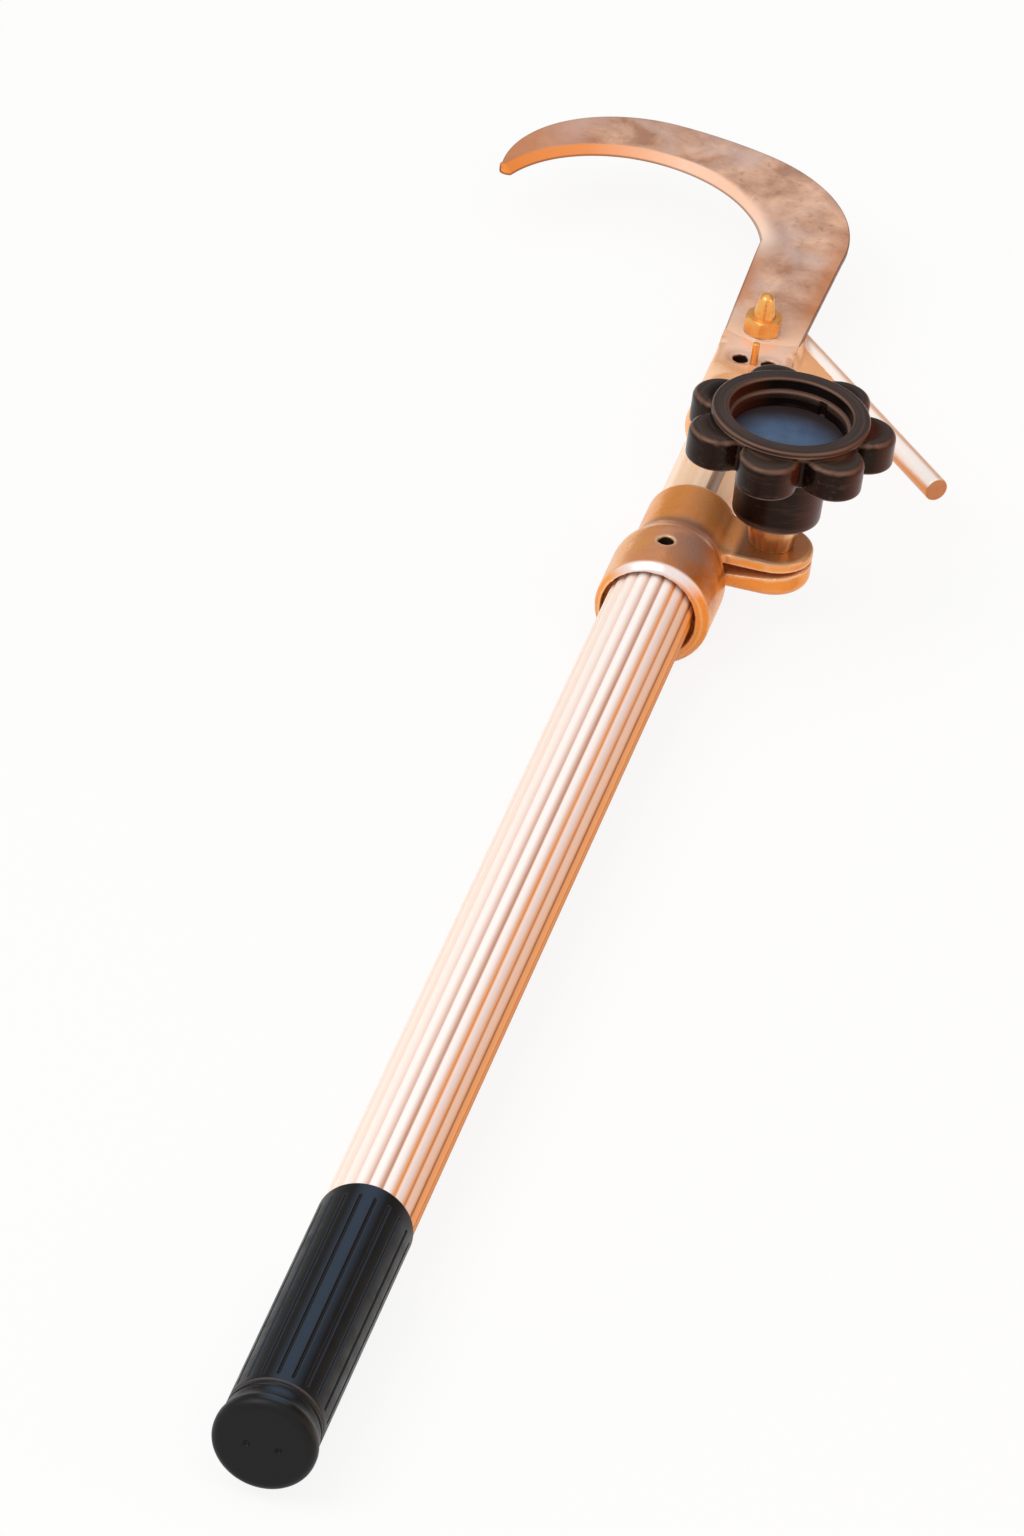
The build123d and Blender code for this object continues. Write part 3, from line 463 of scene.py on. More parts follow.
# Star knob
# A dark brown phenolic moulding on a brass insert: tall hub, seven lobes, a raised ring and a stepped cup
# with a blue disc as its floor. The moulding is glossy, with painted highlights, paler brown, along its edges.
phenolic, tree, place = new_material("moulded_phenolic")
edge_highlight = add(tree, "Attribute", out="Fac", attribute_name="edge")
to_axis = (-screw_x / 1000, -screw_y / 1000, 0)
centred = add(tree, "VectorMath", [place, to_axis], operation="ADD")
axes = add(tree, "SeparateXYZ", [centred]).node.outputs
flat = add(tree, "CombineXYZ", [axes["X"], axes["Y"]])
reach = add(tree, "VectorMath", [flat], operation="LENGTH")
turn = add(tree, "VectorMath", [flat], operation="NORMALIZE")
around = add(tree, "VectorMath", {0: turn, "Scale": 0.0015}, operation="SCALE")
ring_place = add(tree, "CombineXYZ", {"X": reach, "Z": axes["Z"]})
ring_drift = add(tree, "VectorMath", [ring_place, around], operation="ADD")
# rubbed rings 0.8 mm wide that run round the knob, with the painted edge highlights added to them
streak = add(tree, "TexNoise", {"Vector": ring_drift, "Scale": 1 / 0.0016, "Detail": 3.0})
mixed = add(tree, "Math", [streak, 0.5, edge_highlight], operation="MULTIPLY_ADD")
share = add(tree, "MapRange", [mixed, 0.28, 1.0])
tint = add(tree, "Mix", {0: share, 6: "#0E0807", 7: "#86675A"}, data_type="RGBA")
# painted warm light, redder, on the side towards the warm fill, and a painted grey sheen on top
normal = add(tree, "TexCoord", out="Normal")
toward_warm_light = add(tree, "VectorMath", [normal, (0.3, -0.95, 0)], operation="DOT_PRODUCT")
warm_lit = add(tree, "MapRange", [toward_warm_light, 0.2, 0.95, 0.0, 0.85])
warm_light_tint = add(tree, "Mix", {0: warm_lit, 6: tint, 7: "#52220F"}, data_type="RGBA")
topside = add(tree, "SeparateXYZ", [normal], out="Z")
top_sheen = add(tree, "MapRange", [topside, 0.75, 1.0, 0.0, 0.33])
top_lit = add(tree, "Mix", {0: top_sheen, 6: warm_light_tint, 7: "#54453F"}, data_type="RGBA")
# gloss dulled by handling, in patches of 6 mm
dust = add(tree, "TexNoise", {"Vector": place, "Scale": 1 / 0.006, "Detail": 5.0})
gloss = add(tree, "MapRange", [dust, 0.3, 0.7, 0.2, 0.36])
finish = {"Base Color": top_lit, "Roughness": gloss, "IOR": 1.6, "Specular IOR Level": 0.18}
finish["Specular Tint"] = "#FFCDB2"
add(tree, "OutputMaterial", [add(tree, "BsdfPrincipled", finish)])

lobe_count, lobe_radius, lobe_centre, valley_radius, lobe_turn = 7, 10.3, 25.7, 1.35, radians(177)
half_pitch = pi / lobe_count
spread = lobe_centre * cos(half_pitch)
valley_centre = spread + sqrt(spread**2 - lobe_centre**2 + (lobe_radius + valley_radius) ** 2)
lean_angle = np.arctan2(valley_centre * sin(half_pitch), valley_centre * cos(half_pitch) - lobe_centre)
facing_lobe = lean_angle + pi - half_pitch
lobe_ray = np.exp(1j * np.linspace(-lean_angle, lean_angle, 44))
valley_ray = np.exp(1j * np.linspace(facing_lobe, 2 * pi - facing_lobe, 12))[1:-1]
to_valley = np.exp(1j * half_pitch)
valley_arc = to_valley * (valley_centre + valley_radius * valley_ray)
one_lobe = np.concatenate([lobe_centre + lobe_radius * lobe_ray, valley_arc])
lobe_normal = np.concatenate([lobe_ray, -to_valley * valley_ray])
spin = np.exp(1j * (lobe_turn + 2 * half_pitch * np.arange(lobe_count)))[:, None]
star, star_normal = (spin * one_lobe).ravel(), (spin * lobe_normal).ravel()
ray = star / np.abs(star)


def star_row(inset, z, least=0.0):
    """Star outline moved in by inset along its normal, kept outside a least radius, at height z."""
    flat = star - inset * star_normal
    flat = np.where(np.abs(flat) < least, least * ray, flat)
    return np.stack([flat.real, flat.imag, np.full(len(star), z)], -1)


def round_row(radius, z):
    """Circle at height z whose points stand on the star outline's rays."""
    flat = radius * ray
    return np.stack([flat.real, flat.imag, np.full(len(star), z)], -1)


# rows up the hub, out under the lobes, over them, and up, over and down inside the ring, each with its painted edge
# highlight
low_round, low_z, high_round, high_z, ring_foot = 1.2, 46.2, 2.6, 54.4, 24.9
hub_line = [(6.55, 20, 0), (14.0, 20, 0), (14.6, 20.12, 0.3), (14.9, 20.45, 0.5), (15.02, 21.0, 0.2)]
hub_line += [(15.05, 23, 0), (15.3, 33, 0), (15.55, 43, 0), (15.75, 44.4, 0), (16.4, 45, 0)]
rows = [(round_row(radius, z), share) for radius, z, share in hub_line]
for t in np.linspace(0, pi / 2, 6):
    rows.append((star_row(low_round * (1 - sin(t)), low_z - low_round * cos(t)), 0.45 * sin(2 * t)))
rows += [(star_row(0, z), 0) for z in (47.5, 49.5, 51.5, 53.3)]
for t in np.linspace(0, pi / 2, 9):
    over_lobe = star_row(high_round * (1 - cos(t)), high_z + high_round * sin(t), ring_foot)
    rows.append((over_lobe, 0.42 * sin(2 * t) ** 4))
ring_line = [(24.95, 57.02, 0), (26.5, 57.6, 0.2), (26.9, 57.8, 0.8), (27.0, 58.05, 0.8), (27.0, 58.4, 0.3)]
for t in np.linspace(0.25, pi / 2, 8):
    ring_line.append((25.4 + 1.6 * cos(t), 58.4 + 1.6 * sin(t), 0.5 * sin(2 * t) ** 4))
ring_line += [(24.6, 60, 0.1), (23.4, 60, 0.0), (22.4, 60, 0.1)]
for t in np.linspace(0, pi / 2, 8):
    ring_line.append((22.0 - 1.2 * sin(t), 58.8 + 1.2 * cos(t), 0.45 * sin(2 * t) ** 2))
ring_line += [(20.8, 57.4, 0), (20.8, 55.9, 0), (20.7, 55.62, 0.2), (20.4, 55.5, 0.3), (19.9, 55.35, 0.45)]
ring_line += [(19.62, 55.1, 0.5), (19.5, 54.6, 0.2), (19.5, 52.5, 0), (19.5, 50.0, 0), (19.5, 48.5, 0)]
ring_line += [(6.55, 48.5, 0), (6.55, 44, 0)]
rows += [(round_row(radius, z), share) for radius, z, share in ring_line]
grid = np.stack([row for row, _ in rows])
# a small notch in the cup's lower wall
cup_radius, notch_half, notch_ray = 19.5, 1.1, np.exp(1j * radians(-23))
on_wall = (np.hypot(grid[..., 0], grid[..., 1]) < cup_radius + 0.2) & (grid[..., 2] > 49.9) & (grid[..., 2] < 54.7)
aside = np.abs((ray / notch_ray).imag) * cup_radius + 100 * ((ray / notch_ray).real < 0)
grid[..., :2] *= (1 + on_wall * 0.07 * (1 - step(notch_half, notch_half + 0.5, aside)))[..., None]
grid = grid + np.array([screw_x, screw_y, 0])
knob_skin = skin("knob_skin", grid, True, "knob", phenolic, "knob_body")
paint(knob_skin, edge=np.repeat([share for _, share in rows], len(star)))

blue, tree, place = new_material("blue_abs")
# moulded ABS with a fine speckle of 0.7 mm and paler scuffs
speckle = add(tree, "TexNoise", {"Vector": place, "Scale": 1 / 0.0007, "Detail": 2.0})
scuff = add(tree, "TexNoise", {"Vector": place, "Scale": 1 / 0.007, "Detail": 4.0})
both = add(tree, "Math", [speckle, 0.35, scuff], operation="MULTIPLY_ADD")
share = add(tree, "MapRange", [both, 0.4, 0.95])
moulded = add(tree, "Mix", {0: share, 6: "#334A68", 7: "#4B6484"}, data_type="RGBA")
# painted shade of the cup's wall: darker round the back of the floor, away from its front
front_of_floor = (0.545, screw_y / 1000, 0.05)
from_front = add(tree, "VectorMath", [place, front_of_floor], operation="DISTANCE")
wall_shade = add(tree, "MapRange", [from_front, 0.0115, 0.0212, 0.0, 0.95])
tint = add(tree, "Mix", {0: wall_shade, 6: moulded, 7: "#2B1C18"}, data_type="RGBA")
finish = {"Base Color": tint, "Roughness": 0.5, "IOR": 1.54}
add(tree, "OutputMaterial", [add(tree, "BsdfPrincipled", finish)])
disc_radius, disc_low, disc_top = 19.45, 48.55, 50.0
disc_line = rounded([(0.6, disc_low), (disc_radius, disc_low), (disc_radius, disc_top), (0.6, disc_top)], 0.35)
disc_line = np.vstack([[(0.02, disc_low)], disc_line[3:-3], [(0.02, disc_top)]])
skin("disc_skin", turned(disc_line, 128), False, "knob", blue, "knob_disc")

brass, tree, place = new_material("polished_brass")
# cast and rolled brass with tarnish in patches of 4 mm and scratches 0.5 mm apart
tarnish = add(tree, "TexNoise", {"Vector": place, "Scale": 1 / 0.004, "Detail": 5.0})
tint = add(tree, "Mix", {0: tarnish, 6: "#DC8222", 7: "#FAC476"}, data_type="RGBA")
scratch_place = add(tree, "Mapping", {"Vector": place, "Scale": (1, 1, 0.12)})
scratch = add(tree, "TexNoise", {"Vector": scratch_place, "Scale": 1 / 0.0005, "Detail": 2.0})
gloss = add(tree, "MapRange", [scratch, 0.3, 0.7, 0.14, 0.32])
scored = add(tree, "Bump", {"Height": scratch, "Strength": 0.06, "Distance": 0.0003})
finish = {"Base Color": tint, "Metallic": 0.6, "Roughness": gloss, "Normal": scored}
add(tree, "OutputMaterial", [add(tree, "BsdfPrincipled", finish)])
dress(brass, "knob_insert")


# Inner tube with its slide plug
# A smooth drawn aluminium tube, warm lacquered, with one rolled groove that a key in the collar rides in. A
# moulded plug in its foot guides it in the outer tube.
warm_lacquer, tree, place = new_material("warm_lacquered_aluminium")
# draw lines along the tube, 1.5 mm apart and 60 mm long
line_place = add(tree, "Mapping", {"Vector": place, "Scale": (0.025, 1, 1)})
lines = add(tree, "TexNoise", {"Vector": line_place, "Scale": 1 / 0.003, "Detail": 4.0})
line_share = add(tree, "MapRange", [lines, 0.35, 0.72])
tint = add(tree, "Mix", {0: line_share, 6: "#FFE3C6", 7: "#FBBC88"}, data_type="RGBA")
# painted shade in the rolled groove, whose round has its centre 14.7 mm out
groove_out, groove_angle = 0.0147, radians(112.5)
groove_centre = (0, groove_out * cos(groove_angle), groove_out * sin(groove_angle))
section = add(tree, "VectorMath", [place, (0, 1, 1)], operation="MULTIPLY")
from_groove = add(tree, "VectorMath", [section, groove_centre], operation="DISTANCE")
groove_shade = add(tree, "MapRange", [from_groove, 0.0026, 0.0029, 0.75, 0.0])
grooved = add(tree, "Mix", {0: groove_shade, 6: tint, 7: "#6A5450"}, data_type="RGBA")
finish = {"Base Color": grooved, "Roughness": 0.3, "Coat Weight": 0.15, "Coat Roughness": 0.12}
add(tree, "OutputMaterial", [add(tree, "BsdfPrincipled", finish)])
dress(warm_lacquer, "inner_tube")

nylon, tree, place = new_material("moulded_nylon")
# natural nylon, faintly cloudy over 5 mm
haze = add(tree, "TexNoise", {"Vector": place, "Scale": 1 / 0.005, "Detail": 3.0})
tint = add(tree, "Mix", {0: haze, 6: "#B9B4A8", 7: "#D2CEC4"}, data_type="RGBA")
finish = {"Base Color": tint, "Roughness": 0.5, "IOR": 1.53}
add(tree, "OutputMaterial", [add(tree, "BsdfPrincipled", finish)])
dress(nylon, "slide_plug")


# Head socket and its rivets
# A bronze casting like the collar: a sleeve riveted on the inner tube, drawn out into a flat tongue with a
# step for the blade and a web for the spur. Its folds run out in wide cast fillets.
hole_x, hole_ys, hole_radius = 664.0, (-3.8, 6.4), 2.7
tang_end, tang_bow, tang_mid, tang_half, blade_top = 674.2, 5.0, 2.15, 13.35, 8.0
rod_x, rod_y, rod_dx, rod_dy = 690.0, -13.0, -0.7513, -0.66
peg_x, peg_y, nut_x, nut_y, gleam_x, gleam_y = 662.5, 1.3, 682.0, 3.0, 672.0, 1.0


def from_hole(x, y):
    """Distance in mm, in plan, to the nearer of the two spare holes."""
    return np.hypot(x - hole_x, y - np.array(hole_ys)[:, None]).min(0)


def outer_folds(p):
    """All of the head's outside past its sleeve, clear of the holes and the blade's step."""
    peg = np.hypot(p[:, 0] - peg_x, p[:, 1] - peg_y) < 1.9
    seat = (p[:, 0] > 668.5) & (p[:, 2] > 5.2)
    return (p[:, 0] > 641) & ~(from_hole(p[:, 0], p[:, 1]) < 3.4) & ~peg & ~seat


head_skin, points = cast_copy("head_skin", "head_socket", 0.5, outer_folds, 700, "inner")
# round the spur's groove the casting is drawn in under the rod, so that the rod grows out of it
along = rod_dx * (points[:, 0] - rod_x) + rod_dy * (points[:, 1] - rod_y)
aside = -rod_dy * (points[:, 0] - rod_x) + rod_dx * (points[:, 1] - rod_y)
from_rod = np.hypot(aside, points[:, 2])
tuck = np.where((from_rod < 4.75) & (along > -7), 3.5 / np.maximum(from_rod, 0.1), 1.0) - 1
points[:, 0] -= rod_dy * aside * tuck
points[:, 1] += rod_dx * aside * tuck
points[:, 2] *= 1 + tuck


def swell(x, y):
    """Height in mm that the cast top gains round the nut and loses round each spare hole: a sum of bells
    h exp(-d^2 / 2s^2) of the distance d in plan."""
    rise = 0.75 * np.exp(-((x - nut_x) ** 2 + (y - nut_y) ** 2) / 128)
    for hole_y in hole_ys:
        rise = rise - 1.5 * np.exp(-((x - hole_x) ** 2 + (y - hole_y) ** 2) / 22)
    return rise


def past_end(x, y):
    """Distance in mm along the pole from the tang's bowed end, x = end - bow (1 - u^2) with u across the tang."""
    return x - tang_end + tang_bow * (1 - np.clip((y - tang_mid) / tang_half, -1, 1) ** 2)


# the casting laps over the tang's end and runs out under the blade's top
rise, beyond = swell(points[:, 0], points[:, 1]), past_end(points[:, 0], points[:, 1])
side = step(0.9, 1.0, np.abs(points[:, 1] - tang_mid) / tang_half)
over = step(4.6, 5.4, points[:, 2]) * (step(-2, -1, beyond) * (1 - side) + step(-8, 4, beyond) * side)
points[:, 2] += rise * step(4.5, 7.5, points[:, 2])
points[:, 2] += over * np.maximum(0, blade_top + rise - 0.25 * step(4, 10, beyond) - points[:, 2])
head_skin.data.vertices.foreach_set("co", (points / 1000).astype(np.float32).ravel())
head_skin.data.update()
px, py, pz = points.T
folds = head_skin.data.attributes["crease"].data
bend = np.empty(len(points), np.float32)
folds.foreach_get("value", bend)
bend *= 1 - step(3, 4.5, pz) * step(-4, -2.5, beyond)
folds.foreach_set("value", bend)
# a painted gleam round the nut, brushed over, painted shade in the holes, and duller round their rims, with a little
# painted shade there
near_nut = 1 - step(6, 24, np.hypot(px - gleam_x, py - gleam_y))
in_hole = 1 - step(hole_radius, hole_radius + 0.4, from_hole(px, py))
ringed = bell(from_hole(px, py) - 4.0, 1.4) * step(5, 7, pz)
brushed = 0.95 - 0.15 * step(13, 20, -py) - 0.5 * ringed
painted_gleam = 0.46 * near_nut * step(2, 7, pz) * (1 - in_hole) * (1 - step(8, 16, -py))
paint(head_skin, bright=painted_gleam, polish=brushed, shade=np.maximum(in_hole, 0.25 * ringed))


# Hook blade
# A sickle cut from steel plate, its tang bolted into the head's channel. The inner edge is ground to a bevel
# that narrows from heel to tip and runs out along the shank; the flats keep a mottled forged skin.
forged, tree, place = new_material("forged_steel")
layers = ("bevel", "along", "warm", "rim")
bevel, along, warm, rim = (add(tree, "Attribute", out="Fac", attribute_name=name) for name in layers)
# stains in clouds of 14 mm and specks of 3 mm
mottle = {"Vector": place, "Scale": 1 / 0.014, "Detail": 6.0, "Roughness": 0.6, "Distortion": 0.4}
clouds = add(tree, "TexNoise", mottle)
specks = add(tree, "TexNoise", {"Vector": place, "Scale": 1 / 0.003, "Detail": 4.0, "Roughness": 0.65})
pale_share = add(tree, "MapRange", [clouds, 0.35, 0.68])
flat_tint = add(tree, "Mix", {0: pale_share, 6: "#AF8066", 7: "#EABEA2"}, data_type="RGBA")
dark_share = add(tree, "MapRange", [specks, 0.56, 0.78, 0.0, 0.7])
stained = add(tree, "Mix", {0: dark_share, 6: flat_tint, 7: "#8E6C60"}, data_type="RGBA")
# a greyed bloom in patches of 28 mm
haze = add(tree, "TexNoise", {"Vector": place, "Scale": 1 / 0.028, "Detail": 4.0, "Distortion": 0.5})
haze_share = add(tree, "MapRange", [haze, 0.48, 0.66, 0.0, 0.6])
hazed = add(tree, "Mix", {0: haze_share, 6: stained, 7: "#C7B0AB"}, data_type="RGBA")
# warm towards the tip and along the shank's edges, where the heat of forging tempered it
tempered = add(tree, "Mix", {0: warm, 6: hazed, 7: "#C67C48"}, data_type="RGBA")
# the bevel is ground bright, pale at the heel and orange towards the tip
ground_tint = add(tree, "Mix", {0: along, 6: "#FFE3CF", 7: "#E98C44"}, data_type="RGBA")
bevelled = add(tree, "Mix", {0: bevel, 6: tempered, 7: ground_tint}, data_type="RGBA")
# polished with the head round the nut, taking on the head's painted gleam there, and dark scale left on the sawn
# outer rim
along_pole = add(tree, "SeparateXYZ", [place], out="X")
near_head = add(tree, "MapRange", [along_pole, 0.703, 0.679])
joined_with_gleam = add(tree, "Mix", {0: near_head, 6: bevelled, 7: "#F3CBAE"}, data_type="RGBA")
tint = add(tree, "Mix", {0: rim, 6: joined_with_gleam, 7: "#6A4128"}, data_type="RGBA")
relief = add(tree, "Bump", {"Height": clouds, "Strength": 0.12, "Distance": 0.001})
dull = add(tree, "MapRange", {0: bevel, 3: 0.4, 4: 0.08})
gloss = add(tree, "MapRange", [specks, 0.3, 0.7, 0.32, 0.5])
finish = {"Base Color": tint, "Metallic": 0.1, "Roughness": gloss, "Specular IOR Level": dull, "Normal": relief}
add(tree, "OutputMaterial", [add(tree, "BsdfPrincipled", finish)])


def bow(start, direction, end, count):
    """Points of the arc that leaves start along direction and reaches end, as complex numbers: it turns by
    twice the angle from direction to the chord, about a centre on the normal at start."""
    chord = end - start
    half = np.angle(chord / direction)
    centre = start + 1j * direction / abs(direction) * abs(chord) / (2 * sin(half))
    return centre + (start - centre) * np.exp(2j * half * np.linspace(0, 1, count))


def set_out(a, b, c):
    """Direction in which the circle through a, b and c leaves a."""
    return (b - a) * (c - a) / (c - b)


def even(path, count):
    """Points spaced evenly along a path of complex numbers."""
    length = np.concatenate([[0], np.cumsum(np.abs(np.diff(path)))])
    at = np.linspace(0, length[-1], count)
    return np.interp(at, length, path.real) + 1j * np.interp(at, length, path.imag)


# both sides as chains of tangent arcs, as x + iy, with their points paired in rows from the tang to the tip: row
# 41 stands at the heel, 101 at the side and 161 at the tip
tang_in, tang_out, shank_in = tang_end + 15.5j, tang_end - 11.2j, 697.3 + 16.4j
heel, throat, side_in, tip_in = 745.6 + 17.8j, 772.6 + 36.7j, 782.1 + 60.5j, 752 + 110.2j
shank_out, bend_out, back_out, side_out = 743 - 12.5j, 768.5 - 8.7j, 802.4 + 27.5j, 808.9 + 62.4j
tip_mid, tip_out = 752 + 113.4j, 756.5 + 114.7j
low_in = bow(heel, set_out(heel, throat, side_in), side_in, 200)
high_in = bow(side_in, low_in[-1] - low_in[-2], tip_in, 200)
bend = bow(shank_out, set_out(shank_out, bend_out, back_out), back_out, 200)
back = bow(back_out, bend[-1] - bend[-2], side_out, 200)
crest = bow(side_out, back[-1] - back[-2], tip_out, 200)
tip = bow(tip_in, set_out(tip_in, tip_mid, tip_out), tip_out, 21)
inner_side = [np.linspace(tang_in, shank_in, 12), np.linspace(shank_in, heel, 31)[1:]]
inner_side += [even(low_in, 61)[1:], even(high_in, 61)[1:], tip[1:10]]
outer_side = [np.linspace(tang_out, shank_out, 42), even(np.concatenate([bend, back[1:]]), 61)[1:]]
outer_side += [even(crest, 61)[1:], tip[-2:-11:-1]]
inner_side, outer_side = np.concatenate(inner_side), np.concatenate(outer_side)
run = np.concatenate([[0], np.cumsum(np.abs(np.diff((inner_side + outer_side) / 2)))])
shank_at, heel_at, throat_at, tip_at = run[[12, 41, 60, 161]]
width = np.abs(outer_side - inner_side)
bevel_wide = np.interp(run, [shank_at, heel_at, throat_at, tip_at], [12.0, 8.5, 6.2, 4.6])
bevel_wide = np.minimum(bevel_wide, np.interp(run, [tip_at - 9, tip_at, run[-1]], [0.62, 0.8, 1.0]) * width)
bevel_deep = np.interp(run, [shank_at, run[34], heel_at, throat_at], [0.0, 0.12, 0.8, 1.7])
# columns over the bevel, over the flat, round the outer rim and back along the underside
bevel_columns, flat_columns, blade_low, run_out = 15, 14, 5.5, 0.12
rim_column = bevel_columns + flat_columns
across = [bevel_wide * t for t in np.linspace(0.02, 1, bevel_columns)]
across += [bevel_wide + (width - 0.6 - bevel_wide) * t for t in np.linspace(0.04, 1, flat_columns)]
across += [width - 0.3, width - 0.08, width, width - 0.08, width - 0.4]
across += [width * t for t in np.linspace(0.9, 0.1, 6)] + [0.3 + 0 * width, 0 * width]
across = np.minimum(np.stack(across, 1), width[:, None])
slope = np.clip(across / bevel_wide[:, None], 0, 1)
ground = 1 - slope
eased = ground**2 / (2 * run_out) + run_out / 2 * np.clip(ground / run_out, 0, 1)
height = np.full(across.shape, blade_top) - bevel_deep[:, None] * np.where(ground > run_out, ground, eased)
height[:, rim_column : rim_column + 3] -= np.array([0.06, 0.25, 0.9])
height[:, rim_column + 3 :] = blade_low
height[:, [rim_column + 3, -1]] = blade_low + np.array([0.25, 0.2])
flat = inner_side[:, None] + (across / width[:, None]) * (outer_side - inner_side)[:, None]
bowed = 1 - step(675, 692, inner_side.real)[:, None]
flat = flat - tang_bow * (1 - (2 * across / width[:, None] - 1) ** 2) * bowed
under_lap = 0.4 * (1 - step(0, 6, past_end(flat.real, flat.imag)))
height = height + (height > 7.2) * (swell(flat.real, flat.imag) - under_lap)
grid = np.stack([flat.real, flat.imag, height], -1)
blade_skin = skin("blade_skin", grid, False, "inner", forged, "hook_blade")
sharp = np.interp(run, [heel_at, throat_at, run[90]], [0.0, 0.35, 0.85])[:, None]
on_bevel = (np.arange(across.shape[1]) < bevel_columns) * step(run[27], run[47], run)[:, None]
bright_bevel = on_bevel * (1 - step(sharp, 1.0, slope))
orange_at = [heel_at, throat_at, run[75], run[95], run[128], tip_at]
orange = np.interp(run, orange_at, [0.0, 0.25, 0.34, 0.32, 0.92, 1.0])[:, None] + 0 * across
middle = inner_side.real[:, None]
outer_edge = 0.7 * (1 - step(0.5, 9, width[:, None] - across)) * (1 - step(735, 770, middle))
inner_edge = 0.7 * (1 - step(0, 8, across)) * (1 - step(725, 750, middle)) * step(690, 705, middle)
edges = np.maximum(np.maximum(outer_edge, inner_edge), 0.85 * step(run[111], run[156], run)[:, None])
scale = np.zeros(across.shape)
scale[:, rim_column : rim_column + 4] = np.array([0.6, 0.85, 0.95, 0.95])
scale[:, [0, -2, -1]] = 0.55
wear = {"bevel": bright_bevel, "along": orange, "warm": edges, "rim": scale}
paint(blade_skin, **{name: np.append(values, [0, values[-1, 0]]) for name, values in wear.items()})


# Blade bolt, nut, washer and locating peg
# Brass hardware: an M8 bolt up through tongue and tang with a chamfered nut, its end tapered and domed, and a
# thin peg behind the tang. The washer under the nut is bright plated steel.
dress(brass, "blade_bolt", "blade_nut", "locating_peg")

bright_plate, tree, place = new_material("bright_plated_steel")
# plating with a faint milky bloom, in patches of 2 mm
bloom = add(tree, "TexNoise", {"Vector": place, "Scale": 1 / 0.002, "Detail": 3.0})
tint = add(tree, "Mix", {0: bloom, 6: "#D9CCC6", 7: "#F4ECE8"}, data_type="RGBA")
finish = {"Base Color": tint, "Metallic": 0.6, "Roughness": 0.25}
add(tree, "OutputMaterial", [add(tree, "BsdfPrincipled", finish)])
dress(bright_plate, "blade_washer")


# Spur rod
# A straight polished steel rod, let into the edge of the head's web and pinned, its free end sawn square. Its
# colour carries painted light: pale on top, warm orange below and peach on the side that faces the hook.
rod_steel, tree, place = new_material("lacquered_rod_steel")
normal = add(tree, "TexCoord", out="Normal")
# streaks along the rod, 1.2 mm wide and 25 mm long
turned_place = add(tree, "Mapping", {"Vector": place, "Rotation": (0, 0, radians(-221.3))})
long_place = add(tree, "Mapping", {"Vector": turned_place, "Scale": (0.05, 1, 1)})
streaks = add(tree, "TexNoise", {"Vector": long_place, "Scale": 1 / 0.0025, "Detail": 3.0})
wander = add(tree, "MapRange", [streaks, 0.3, 0.7, -0.25, 0.25])
# painted light: pale on top and painted warm light on the underside, the line between them wandering with the
# streaks
facing_z = add(tree, "SeparateXYZ", [normal], out="Z")
toward_underside = add(tree, "Math", [facing_z, wander], operation="ADD")
share = add(tree, "MapRange", [toward_underside, 0.5, 0.05])
tint = add(tree, "Mix", {0: share, 6: "#FDF6F1", 7: "#EA933F"}, data_type="RGBA")
# painted warm light, peach, on the side that faces the hook
hookward = add(tree, "VectorMath", [normal, (-rod_dy, rod_dx, 0)], operation="DOT_PRODUCT")
hook_side = add(tree, "Math", [hookward, wander], operation="ADD")
hookside_light_share = add(tree, "MapRange", [hook_side, -0.2, 0.2, 0.0, 0.9])
hookside_lit = add(tree, "Mix", {0: hookside_light_share, 6: tint, 7: "#EFB994"}, data_type="RGBA")
# the sawn end has gone brown
endward = add(tree, "VectorMath", [normal, (rod_dx, rod_dy, 0)], operation="DOT_PRODUCT")
sawn = add(tree, "MapRange", [endward, 0.6, 0.9, 0.0, 0.85])
ended = add(tree, "Mix", {0: sawn, 6: hookside_lit, 7: "#B86C30"}, data_type="RGBA")
finish = {"Base Color": ended, "Metallic": 0.15, "Roughness": 0.3, "Coat Weight": 0.2, "Coat Roughness": 0.15}
add(tree, "OutputMaterial", [add(tree, "BsdfPrincipled", finish)])
dress(rod_steel, "spur_rod")


# Floor, light and camera
# A wide white floor just under the collar, a large soft lamp behind the camera, a warm fill from the spur's
# side, and a sky that is darker ahead of the camera, with a cool window there, so that the metal has form.
floor_z, floor_half = -0.0202, 8.0
corners = [(x * floor_half, y * floor_half, floor_z) for x, y in ((-1, -1), (1, -1), (1, 1), (-1, 1))]
floor_mesh = bpy.data.meshes.new("floor")
floor_mesh.from_pydata(corners, [], [(0, 1, 2, 3)])
floor = bpy.data.objects.new("floor", floor_mesh)
bpy.context.scene.collection.objects.link(floor)
paper, tree, place = new_material("white_paper")
# white to the camera and in mirrors, and matt paper for the rest, so that it keeps a faint shadow
seen = add(tree, "LightPath").node.outputs
mirrored = add(tree, "Math", [seen["Is Camera Ray"], seen["Is Glossy Ray"]], operation="MAXIMUM")
passed = add(tree, "Math", [mirrored, seen["Is Transmission Ray"]], operation="MAXIMUM")
lit_share = add(tree, "Math", [passed, 0.88], operation="MULTIPLY")
matt = add(tree, "BsdfDiffuse", {"Color": (0.86, 0.85, 0.84, 1.0)})
white = add(tree, "Emission", {"Color": (1.0, 1.0, 1.0, 1.0), "Strength": 1.0})
add(tree, "OutputMaterial", [add(tree, "MixShader", [lit_share, matt, white])])
floor_mesh.materials.append(paper)

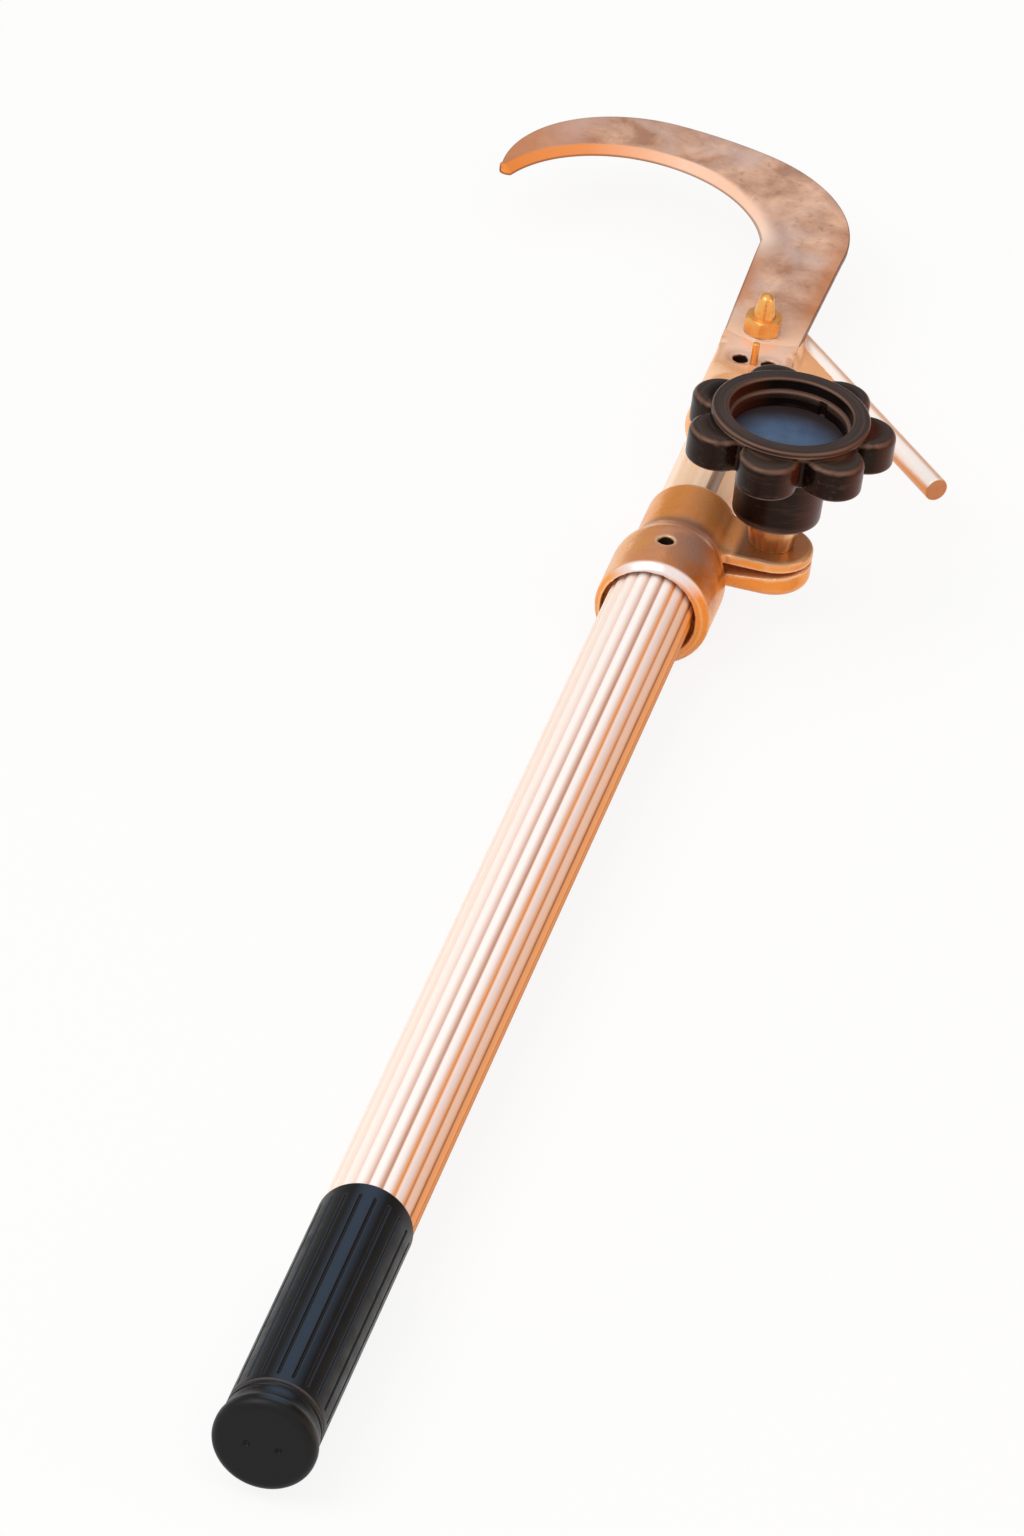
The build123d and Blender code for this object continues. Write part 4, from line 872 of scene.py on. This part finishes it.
world = bpy.data.worlds.new("studio")
bpy.context.scene.world = world
world.use_nodes = True
tree = world.node_tree
tree.nodes.clear()
sky_place = add(tree, "TexCoord", out="Generated")
smooth = {"interpolation_type": "SMOOTHSTEP"}
lean_to = add(tree, "VectorMath", [sky_place, (-0.6, 0.25, 0.75)], operation="DOT_PRODUCT")
level = add(tree, "MapRange", [lean_to, -0.3, 0.7, 0.14, 0.95], **smooth)
ahead = add(tree, "VectorMath", [sky_place, (0.83, 0.04, 0.56)], operation="DOT_PRODUCT")
glow = add(tree, "MapRange", [ahead, 0.9, 0.99, 0.0, 0.3], **smooth)
both = add(tree, "Math", [level, glow], operation="ADD")
warm_white, window_blue = (1.0, 0.98, 0.96, 1.0), (0.45, 0.66, 1.0, 1.0)
cool = add(tree, "Mix", {0: glow, 6: warm_white, 7: window_blue}, data_type="RGBA")
add(tree, "OutputWorld", [add(tree, "Background", {"Color": cool, "Strength": both})])

target = Vector((0.5, 0.0, 0.0))
for name, place_at, size, power, colour in [
    ("key", (-0.6, 0.9, 1.7), 1.6, 16.0, (1.0, 0.98, 0.96)),
    ("warm_fill", (0.35, -1.5, 0.45), 1.1, 6.0, (1.0, 0.62, 0.34)),
]:
    lamp = bpy.data.lights.new(name, "AREA")
    lamp.shape = "DISK"
    lamp.size = size
    lamp.energy = power
    lamp.color = colour
    holder = bpy.data.objects.new(name, lamp)
    holder.location = place_at
    holder.rotation_euler = (target - Vector(place_at)).to_track_quat("-Z", "Y").to_euler()
    bpy.context.scene.collection.objects.link(holder)

# the photograph's camera: where it stands, where it looks, and its roll
camera_at = Vector((-2.8517, -0.5173, 2.1345))
forward = Vector((0.8274, 0.1370, -0.5446)).normalized()
right = Vector((0.1633, -0.9866, 0.0)).normalized()
up = right.cross(forward)
roll = radians(8.3)
turned_right = cos(roll) * right + sin(roll) * up
turned_up = cos(roll) * up - sin(roll) * right
view = Matrix((turned_right, turned_up, -forward)).transposed().to_4x4()
view.translation = camera_at
lens = bpy.data.cameras.new("photo_camera")
lens.sensor_width = 36.0
lens.lens = 281.25
lens.clip_end = 50.0
camera = bpy.data.objects.new("photo_camera", lens)
camera.matrix_world = view
bpy.context.scene.collection.objects.link(camera)
bpy.context.scene.camera = camera
bpy.context.scene.view_settings.view_transform = "Standard"
